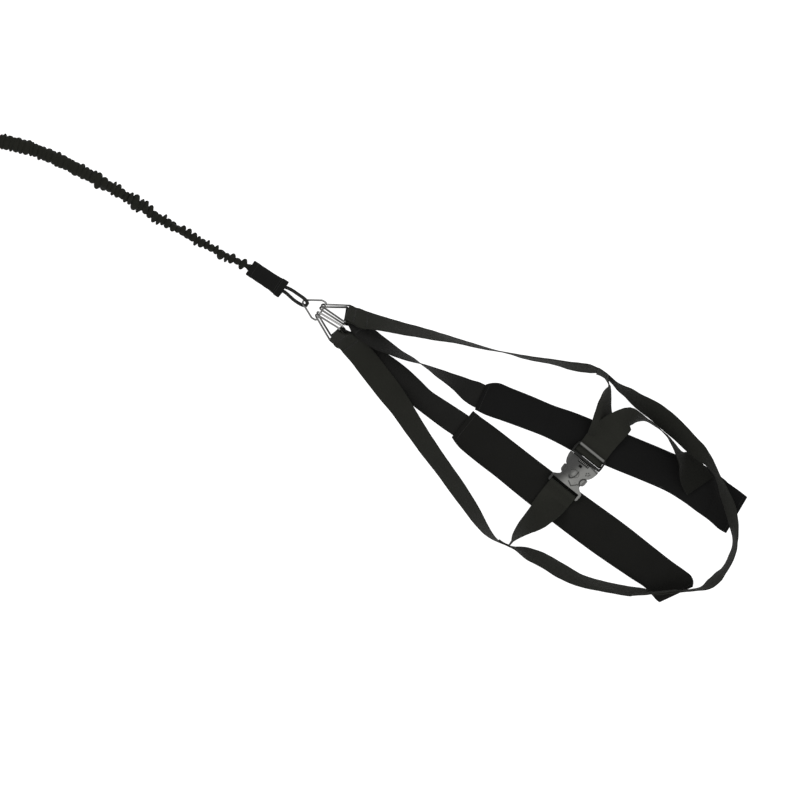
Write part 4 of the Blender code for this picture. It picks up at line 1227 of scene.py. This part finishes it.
def puffed(name, rings, swell):
    """The sleeve blown up by a cloth simulation between its two side
    seams; no point moves further than the given distance."""
    n = len(rings[0])
    verts, faces = skin(rings, True)
    me = bpy.data.meshes.new(name)
    me.from_pydata([tuple(v) for v in verts], [],
                   [tuple(reversed(f)) for f in faces])
    me.update()
    ob = bpy.data.objects.new(name, me)
    bpy.context.scene.collection.objects.link(ob)
    pins = ob.vertex_groups.new(name="seams")
    right = len(TOP_V) + 1
    for i in range(len(rings)):
        for k in range(n):
            if i in (0, 1, len(rings) - 2, len(rings) - 1) or k in (0, right):
                pins.add([i * n + k], 1.0, "REPLACE")
    pins.add([len(verts) - 2, len(verts) - 1], 1.0, "REPLACE")
    mod = ob.modifiers.new("cloth", "CLOTH")
    st = mod.settings
    st.quality = 6
    st.mass = 0.25
    st.tension_stiffness = 18
    st.compression_stiffness = 18
    st.shear_stiffness = 6
    st.bending_stiffness = 0.4
    st.use_pressure = True
    st.uniform_pressure_force = 4.0
    st.effector_weights.gravity = 0.0
    st.vertex_group_mass = "seams"
    st.shrink_min = -0.012
    mod.collision_settings.use_collision = False
    mod.collision_settings.use_self_collision = False
    mod.point_cache.frame_start = 1
    mod.point_cache.frame_end = 20
    scene = bpy.context.scene
    for f in range(1, 21):
        scene.frame_set(f)
    dg = bpy.context.evaluated_depsgraph_get()
    new = [v.co.copy() for v in ob.evaluated_get(dg).data.vertices]
    scene.frame_set(1)
    bpy.data.objects.remove(ob)
    out = []
    for i, ring in enumerate(rings):
        row = []
        for k, p in enumerate(ring):
            d = new[i * n + k] - p
            if d.length > swell:
                d *= swell / d.length
            q = p + d
            q.z = max(0.0003, q.z)
            row.append(q)
        out.append(row)
    return out


def sleeve_mesh(soft, acc, wall):
    """Closed mesh of an open sleeve with a wall of even thickness."""
    count, n = len(soft), len(soft[0])
    verts = [v for r in soft for v in r]
    uvs = []
    for i in range(count):
        girth = 0.0
        for k in range(n):
            uvs.append((acc[i], girth))
            girth += (soft[i][(k + 1) % n] - soft[i][k]).length
    inner = []
    for i in range(count):
        mid = sum(soft[i], Vector()) / n
        row = []
        for k in range(n):
            a, b = soft[i][k - 1], soft[i][(k + 1) % n]
            t = soft[min(count - 1, i + 1)][k] - soft[max(0, i - 1)][k]
            nn = (b - a).cross(t).normalized()
            if nn.dot(mid - soft[i][k]) < 0:
                nn = -nn
            row.append(soft[i][k] + nn * wall)
        inner.append(row)
    base = len(verts)
    verts += [v for r in inner for v in r]
    uvs += uvs[:base]
    faces = []
    for i in range(count - 1):
        for k in range(n):
            a, b = i * n + k, i * n + (k + 1) % n
            faces.append((a, a + n, b + n, b))
            faces.append((base + a, base + b, base + b + n, base + a + n))
    last = (count - 1) * n
    for k in range(n):
        b = (k + 1) % n
        faces.append((k, b, base + b, base + k))
        faces.append((last + k, base + last + k, base + last + b, last + b))
    return verts, faces, uvs


def pad_cover(name, table, mat, creases, hems, seed, st):
    """Sewn sleeve of one shoulder pad, open at both ends."""
    rows = []
    for x1, y1, x2, y2, h in table:
        a, b = G(x1, y1), G(x2, y2)
        rows.append((a.x, a.y, b.x, b.y, h * MM))
    rows = smooth(rows, 0.0028)
    rings = [pad_section(Vector((r[0], r[1], 0)), Vector((r[2], r[3], 0)),
                         r[4], 0.0006) for r in rows]
    rings = puffed("puff_" + name, rings, 0.0008)
    n = len(rings[0])
    tops = range(1, len(TOP_V) + 1)
    count = len(rings)
    acc = [0.0]
    for a, b in zip(rows, rows[1:]):
        acc.append(acc[-1] + math.hypot((a[0] + a[2] - b[0] - b[2]) / 2,
                                        (a[1] + a[3] - b[1] - b[3]) / 2))
    total = acc[-1]
    soft = []
    for i, ring in enumerate(rings):
        s = acc[i]
        end = min(s, total - s)
        row = []
        for k, p in enumerate(ring):
            q = p.copy()
            wide = noise.noise(Vector((p.x * 17, p.y * 17, seed)))
            small = noise.noise(Vector((p.x * 46, p.y * 46, seed + 5)))
            if k in tops:
                q.z += 0.00022 * wide + 0.00016 * small
                if end < 0.0082:
                    q.z += 0.00030 * step01((0.0082 - end) / 0.0012)
                for x0, y0, x1, y1, height, width in creases:
                    d, over = seg_distance(q, G(x0, y0), G(x1, y1))
                    f = math.exp(-(d / width) ** 2 - (over / 0.004) ** 2)
                    lip = math.exp(-((d - 1.9 * width) / width) ** 2
                                   - (over / 0.005) ** 2)
                    q.z += height * f - 0.42 * height * lip
            else:
                out = Vector((q.x - (rows[i][0] + rows[i][2]) / 2,
                              q.y - (rows[i][1] + rows[i][3]) / 2, 0))
                if out.length > 1e-6:
                    q += out.normalized() * 0.00035 * wide
            q.z = max(0.0003, q.z)
            row.append(q)
        soft.append(row)
    verts, faces, uvs = sleeve_mesh(soft, acc, 0.0008)
    ob = add_mesh("pad_sleeve_" + name, verts, faces, mat, uvs)
    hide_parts("pad_cover_" + name)
    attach(ob, "harness")
    # hem stitching on the top, across the sleeve
    for s in hems:
        s = s if s > 0 else total + s
        i = min(range(count), key=lambda q: abs(acc[q] - s))
        line = [soft[i][k] + Vector((0, 0, 0.00010)) for k in tops]
        st.row(line[1:-1], [Vector((0, 0, 1))], 0.0030)
    return ob, soft, acc


def build_pads(st):
    mat = cloth_material("pad_cloth", (0.0042, 0.0042, 0.0041),
                         thread=0.0010, spread=0.16)
    mat_low = cloth_material("pad_cloth_low", (0.0056, 0.0056, 0.0050),
                             thread=0.0010, spread=0.16)
    pad_cover("upper", PAD_UPPER, mat,
              [(563.5, 419.5, 555.0, 431.5, -0.0007, 0.0024),
               (716.4, 496.0, 715.6, 521.0, 0.0006, 0.0014)],
              [0.0066, -0.0066], 2.0, st)
    pad_cover("lower", PAD_LOWER, mat_low,
              [(515.8, 451.5, 504.6, 472.6, -0.0012, 0.0023)],
              [0.0066, -0.0050], 7.0, st)


# ----------------------------------------------------------------- the boots
def boot_cover(name, node, mid, axis, mat, seed):
    """Folded and stitched end cover, with a turned hem at the loop's end."""
    side = Vector((-axis.y, axis.x, 0))
    n, count = 48, 60
    soft, acc = [], []
    for i in range(count + 1):
        f = i / count - 0.5
        s = (f + 0.5) * BOOT_L
        hem = step01((f - 0.325) / 0.02)
        grow = 0.985 + 0.045 * hem
        wide = 1.09 + 0.10 * step01((f - 0.10) / 0.35)
        grow -= 0.04 * step01((0.018 - (0.5 - abs(f))) / 0.018)
        grow -= 0.020 * math.exp(-((f - 0.318) / 0.010) ** 2)
        grow -= 0.016 * math.exp(-((f + 0.33) / 0.012) ** 2)
        row = []
        for k in range(n):
            a = 2 * PI * k / n
            ca, sa = math.cos(a), math.sin(a)
            p = 3.6
            r = (abs(ca) ** p + abs(sa) ** p) ** (-1 / p)
            wob = noise.noise(Vector((f * 9, ca * 1.3 + seed, sa * 1.3)))
            fine = noise.noise(Vector((f * 26, ca * 3 + seed, sa * 3)))
            g = grow + 0.030 * wob + 0.014 * fine
            end = 0.0011 * noise.noise(Vector((ca * 2, sa * 2, seed + 9)))
            end *= step01((abs(f) - 0.42) / 0.08)
            q = mid + axis * (f * BOOT_L + end) \
                + side * BOOT_W / 2 * r * ca * g * wide \
                + Vector((0, 0, BOOT_H / 2 * r * sa * g))
            q.z = max(0.0003, q.z)
            row.append(q)
        soft.append(row)
        acc.append(s)
    verts, faces, uvs = sleeve_mesh(soft, acc, 0.0013)
    ob = add_mesh(name, verts, faces, mat, uvs)
    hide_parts(node)
    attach(ob, "elastic")
    st = Stitches()
    for f in (0.300, 0.345, -0.375):
        i = int((f + 0.5) * count + 0.5)
        row = soft[i] + [soft[i][0]]
        ups = [(p - mid - axis * f * BOOT_L).normalized() for p in row]
        st.row([p + u * 0.00010 for p, u in zip(row, ups)], ups, 0.0026)
    ob2 = add_mesh(name + "_stitching", st.verts, st.faces, thread_mat())
    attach(ob2, "elastic")
    return ob


def build_boots():
    mat = cloth_material("boot_cloth", (0.0050, 0.0050, 0.0047),
                         thread=0.0011, spread=0.3)
    near = boot_cover("boot_near", "band_boot", BOOT_MID, BOOT_AXIS, mat, 1.0)
    far = boot_cover("boot_far", "far_boot", FAR_MID, FAR_AXIS, mat, 5.0)
    return near, far


# ---------------------------------------------------------------- the buckle
def bell(x, width):
    return math.exp(-(x / width) ** 2)


def socket_top(u, v):
    """Height changes of the socket's top face, in mm, at (u, v) in mm."""
    d = -1.25 * (abs(v) / 29.0) ** 2.3 - 0.8 * step01((4.0 - u) / 12.0)
    d -= 0.9 * step01((u - 40.0) / 10.0) * (v / 28.0) ** 2
    e = math.hypot((u - 24.5) / 6.4, (v + 1.1) / 8.3)
    if e < 1:
        d -= 0.55 * (1 - e * e)
    d += 0.22 * bell(e - 1.10, 0.09)
    e = math.hypot((u - 20.3) / 5.9, (v - 19.6) / 6.6)
    if v > 0:
        d -= 0.95 * bell((e - 1.0) * 6.0, 0.55)
    for a, b in ((33.2, 15.4), (36.2, 14.2), (38.6, 16.6), (34.9, 18.4),
                 (37.6, 19.8)):
        d -= 0.6 * bell(math.hypot(u - a, v - b), 0.62)
    d += 0.30 * bell(u - 48.5, 0.55)
    if v > 9.4 or v < -10.8:
        d -= 0.40 * bell(u - 46.9, 0.55)
    d -= 0.5 * bell(u - 13.2, 0.6) * step01((18.0 - abs(v)) / 3.0) \
        * step01((abs(v) - 6.0) / 3.0)
    return d


def near_line(x, y, a, b):
    """Distance from (x, y) to the segment a-b."""
    dx, dy = b[0] - a[0], b[1] - a[1]
    t = ((x - a[0]) * dx + (y - a[1]) * dy) / (dx * dx + dy * dy)
    t = min(1.0, max(0.0, t))
    return math.hypot(x - a[0] - dx * t, y - a[1] - dy * t)


def socket_painted_shading(u, v):
    """Painted light and shade on the socket's plastic at (u, v) in mm, 1 =
    full: a painted highlight that grows across the socket towards +v, and
    painted shade in the outlines, recess rim, hole, vent, dots and grooves.
    Also returns what share of that the grooves leave."""
    # Painted highlight, lighter towards +v, with two smaller painted
    # highlights; the flange's end at u < 3 mm, v < -18 mm is painted darker as
    # shade.
    base = 0.11 + 0.77 * step01((v + 14.0 - 0.34 * (u - 20.0)) / 19.0)
    base += 0.14 * step01((-v - 20.0) / 7.0) * step01((u - 26.0) / 6.0)
    base += 0.18 * step01((18.0 - u) / 8.0) * bell(v + 2.0, 9.0)
    if u < 3.0 and v < -18.0:
        base *= 0.45
    k = 1.0
    # painted shade: dark outlines round the latch buttons, where they stand in
    # their own openings
    e = math.hypot((u - 20.4) / 7.3, (v - 20.6) / 6.6)
    if v > 11.0:
        k *= 1.0 - 0.97 * bell(e - 1.0, 0.16)
    e = math.hypot((u - 20.4) / 7.0, (v + 20.4) / 5.6)
    if v < -14.0:
        k *= 1.0 - 0.45 * bell(e - 1.0, 0.15)
    # thumb recess: painted shade along one side of its rim, and a painted
    # highlight inside it
    e = math.hypot((u - 24.2) / 9.4, (v + 2.0 - 0.12 * (u - 24.0)) / 5.0)
    side = step01((v + 4.5 - 0.5 * (u - 18.0)) / 4.0 + 0.4)
    side = max(side, step01((20.0 - u) / 3.0))
    k *= 1.0 - 0.82 * bell(e - 1.0, 0.20) * side
    if e < 1.0:
        base *= 1.0 + 0.60 * (1.0 - e) - 0.25 * bell(e - 0.62, 0.2)
    # square hole, vent and dots painted dark as shade, with painted shade
    # between the vent's ribs
    hole = max(abs(u - 39.1) / 1.9, abs(v + 0.8) / 2.6)
    k *= 1.0 - 0.95 * step01((1.35 - hole) / 0.45)
    du, dv = abs(u - 46.4) - 2.3, abs(v - 0.8) - 9.4
    d = max(du, dv)
    k *= 1.0 - 0.93 * bell(d, 0.95)
    if d < -0.2:
        k *= 0.72 + 0.28 * math.sin(2 * PI * v / 2.75)
    for a, b in ((33.2, 15.4), (36.2, 14.2), (38.6, 16.6), (34.9, 18.4),
                 (37.6, 19.8)):
        k *= 1.0 - 0.95 * bell(math.hypot(u - a, v - b), 1.1)
    # painted shade along the step in the flange and along the rim in front
    d = min(near_line(u, v, (9.5, -1.0), (5.4, 6.5)),
            near_line(u, v, (5.4, 6.5), (13.6, 14.4)))
    k *= 1.0 - 0.82 * bell(d, 1.0)
    if v > 6.0:
        k *= 1.0 - 0.75 * bell(u - 49.2 + 0.004 * v * v, 0.9)
    return min(1.0, base) * k, k


def plug_painted_highlight(u, v):
    """Painted highlight on the ladder's outer bar, as if it caught the light,
    and a faint one at u = 50 mm; the rest of the frame is painted dark as
    shade.
    """
    t = bell(u - 68.9, 1.9) * step01((25.0 - abs(v)) / 2.0)
    t = min(1.0, 0.08 + 0.95 * t + 0.10 * bell(u - 50.0, 1.5))
    return t, t


def latch_painted_shading(u, v):
    # Painted light and shade: the latch arm is painted lighter towards +v.
    return 0.25 + 0.50 * step01(v / 20.0), 1.0


def refined(node, name, voxel, mat, body, painted_light, top=None, grip=0.0):
    """A CAD part with its edges softened, its surface details added, and
    painted light and shade stored on its points.
    """
    src = bpy.data.objects[node]
    dg = bpy.context.evaluated_depsgraph_get()
    me = bpy.data.meshes.new_from_object(src.evaluated_get(dg))
    me.transform(src.matrix_world)
    ob = bpy.data.objects.new(name, me)
    bpy.context.scene.collection.objects.link(ob)
    mod = ob.modifiers.new("grid", "REMESH")
    mod.mode = "VOXEL"
    mod.voxel_size = voxel
    mod.use_smooth_shade = True
    soft = ob.modifiers.new("soften", "SMOOTH")
    soft.factor = 0.5
    soft.iterations = 2
    dg = bpy.context.evaluated_depsgraph_get()
    new = bpy.data.meshes.new_from_object(ob.evaluated_get(dg))
    ob.modifiers.clear()
    ob.data = new
    new.materials.clear()
    for m in mat:
        new.materials.append(m)
    new.polygons.foreach_set("use_smooth", [True] * len(new.polygons))
    c = G(*BUCKLE_C)
    z1 = max(v.co.z for v in new.vertices)
    # Painted light and shade, stored on the points for the material's base
    # colour.
    shade = new.attributes.new("painted_light", "FLOAT", "POINT")
    deep = []
    for k, vert in enumerate(new.vertices):
        p = vert.co
        d = p - c
        u, v = d.dot(U_DIR) / MM, d.dot(V_DIR) / MM
        t, left = painted_light(u, v)
        shade.data[k].value = t
        deep.append(left < 0.42)
        if top is not None:
            w = step01((p.z - z1 + 0.0030) / 0.0022)
            if w > 0:
                p.z += top(u, v) * MM * w
        if grip and abs(v) > 20.6:
            w = step01((abs(v) - 20.6) / 1.2)
            rib = math.sin(2 * PI * u / 1.5)
            vert.co = p + V_DIR * math.copysign(1.0, v) * grip * MM * rib * w
    # faces deep in the grooves take the darker, duller groove material, as
    # painted shade; the open faces shine
    new.polygons.foreach_set("material_index", [
        1 if sum(deep[i] for i in poly.vertices) > 2 else 0
        for poly in new.polygons])
    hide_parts(node)
    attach(ob, body)
    return ob


def build_buckle_looks():
    # The groove material is a darker, duller copy of the shell plastic, as
    # painted shade.  The frame and the latch arms are the same plastic as the
    # shell, given a darker base colour as painted shade.
    groove = plastic_material("buckle_groove", (0.060, 0.060, 0.057), 0.5,
                              0.05)
    shell = plastic_material("buckle_shell", (0.100, 0.100, 0.095), 0.27)
    frame = plastic_material("buckle_frame", (0.074, 0.074, 0.070), 0.30)
    latch = plastic_material("buckle_latch", (0.074, 0.074, 0.070), 0.30)
    fine = 0.00042
    refined("buckle_socket", "socket_shell", fine, (shell, groove),
            "harness", socket_painted_shading, socket_top)
    refined("buckle_plug", "plug_frame", fine, (frame, groove), "plug",
            plug_painted_highlight, lambda u, v: -0.5 * (abs(v) / 28.0) ** 3)
    for side in ("left", "right"):
        refined("buckle_latch_" + side, "latch_%s_arm" % side, fine,
                (latch, groove), "latch_" + side, latch_painted_shading, None, 0.30)
    # ribs in the vent of the socket
    z1 = BUCKLE_Z + 0.0132
    verts, faces = [], []
    for i in range(6):
        v0 = (-8.6 + 2.75 * i) * MM
        v1 = v0 + 0.0012
        base = len(verts)
        for z in (z1 - 0.0030, z1 - 0.0007):
            for u, v in ((0.0448, v0), (0.0482, v0), (0.0482, v1),
                         (0.0448, v1)):
                verts.append(B(u, v, z))
        faces += [(base, base + 1, base + 2, base + 3),
                  (base + 7, base + 6, base + 5, base + 4)]
        for k in range(4):
            m = (k + 1) % 4
            faces.append((base + k, base + k + 4, base + m + 4, base + m))
    ribs = add_mesh("socket_vent_ribs", verts, faces, shell, smooth=False)
    # The vent ribs carry a fixed painted shade, somewhat darker than the
    # shell's full colour.
    shade = ribs.data.attributes.new("painted_light", "FLOAT", "POINT")
    shade.data.foreach_set("value", [0.75] * len(ribs.data.vertices))
    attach(ribs, "harness")


def dress():
    """Better materials on the CAD nodes that keep their shape."""
    ring = steel_material("steel_wire", (0.145, 0.145, 0.142), 0.24)
    for node in ("ring_1", "ring_2", "ring_3", "ring_4", "ring_link"):
        give(node, ring)
    hidden = steel_material("steel_ferrule", (0.40, 0.40, 0.39), 0.30)
    for node in ("band_ferrule", "far_ferrule"):
        give(node, hidden)
    cord = cord_material("loop_cord", (0.0095, 0.0095, 0.0090))
    for node in ("cord_loop", "far_cord_loop"):
        give(node, cord)
    foam = cloth_material("pad_foam", (0.020, 0.020, 0.020), spread=0.1)
    for node in ("pad_foam_upper", "pad_foam_lower"):
        give(node, foam)


def main():
    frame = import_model()
    build_stage()
    boots = build_boots()
    band, line, total = build_band()
    print("BAND LENGTH", round(total, 4))
    made, st = build_webbing()
    build_pads(st)
    st.mesh("stitching_straps", thread_mat(), "harness")
    build_buckle_looks()
    dress()
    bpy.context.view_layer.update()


main()
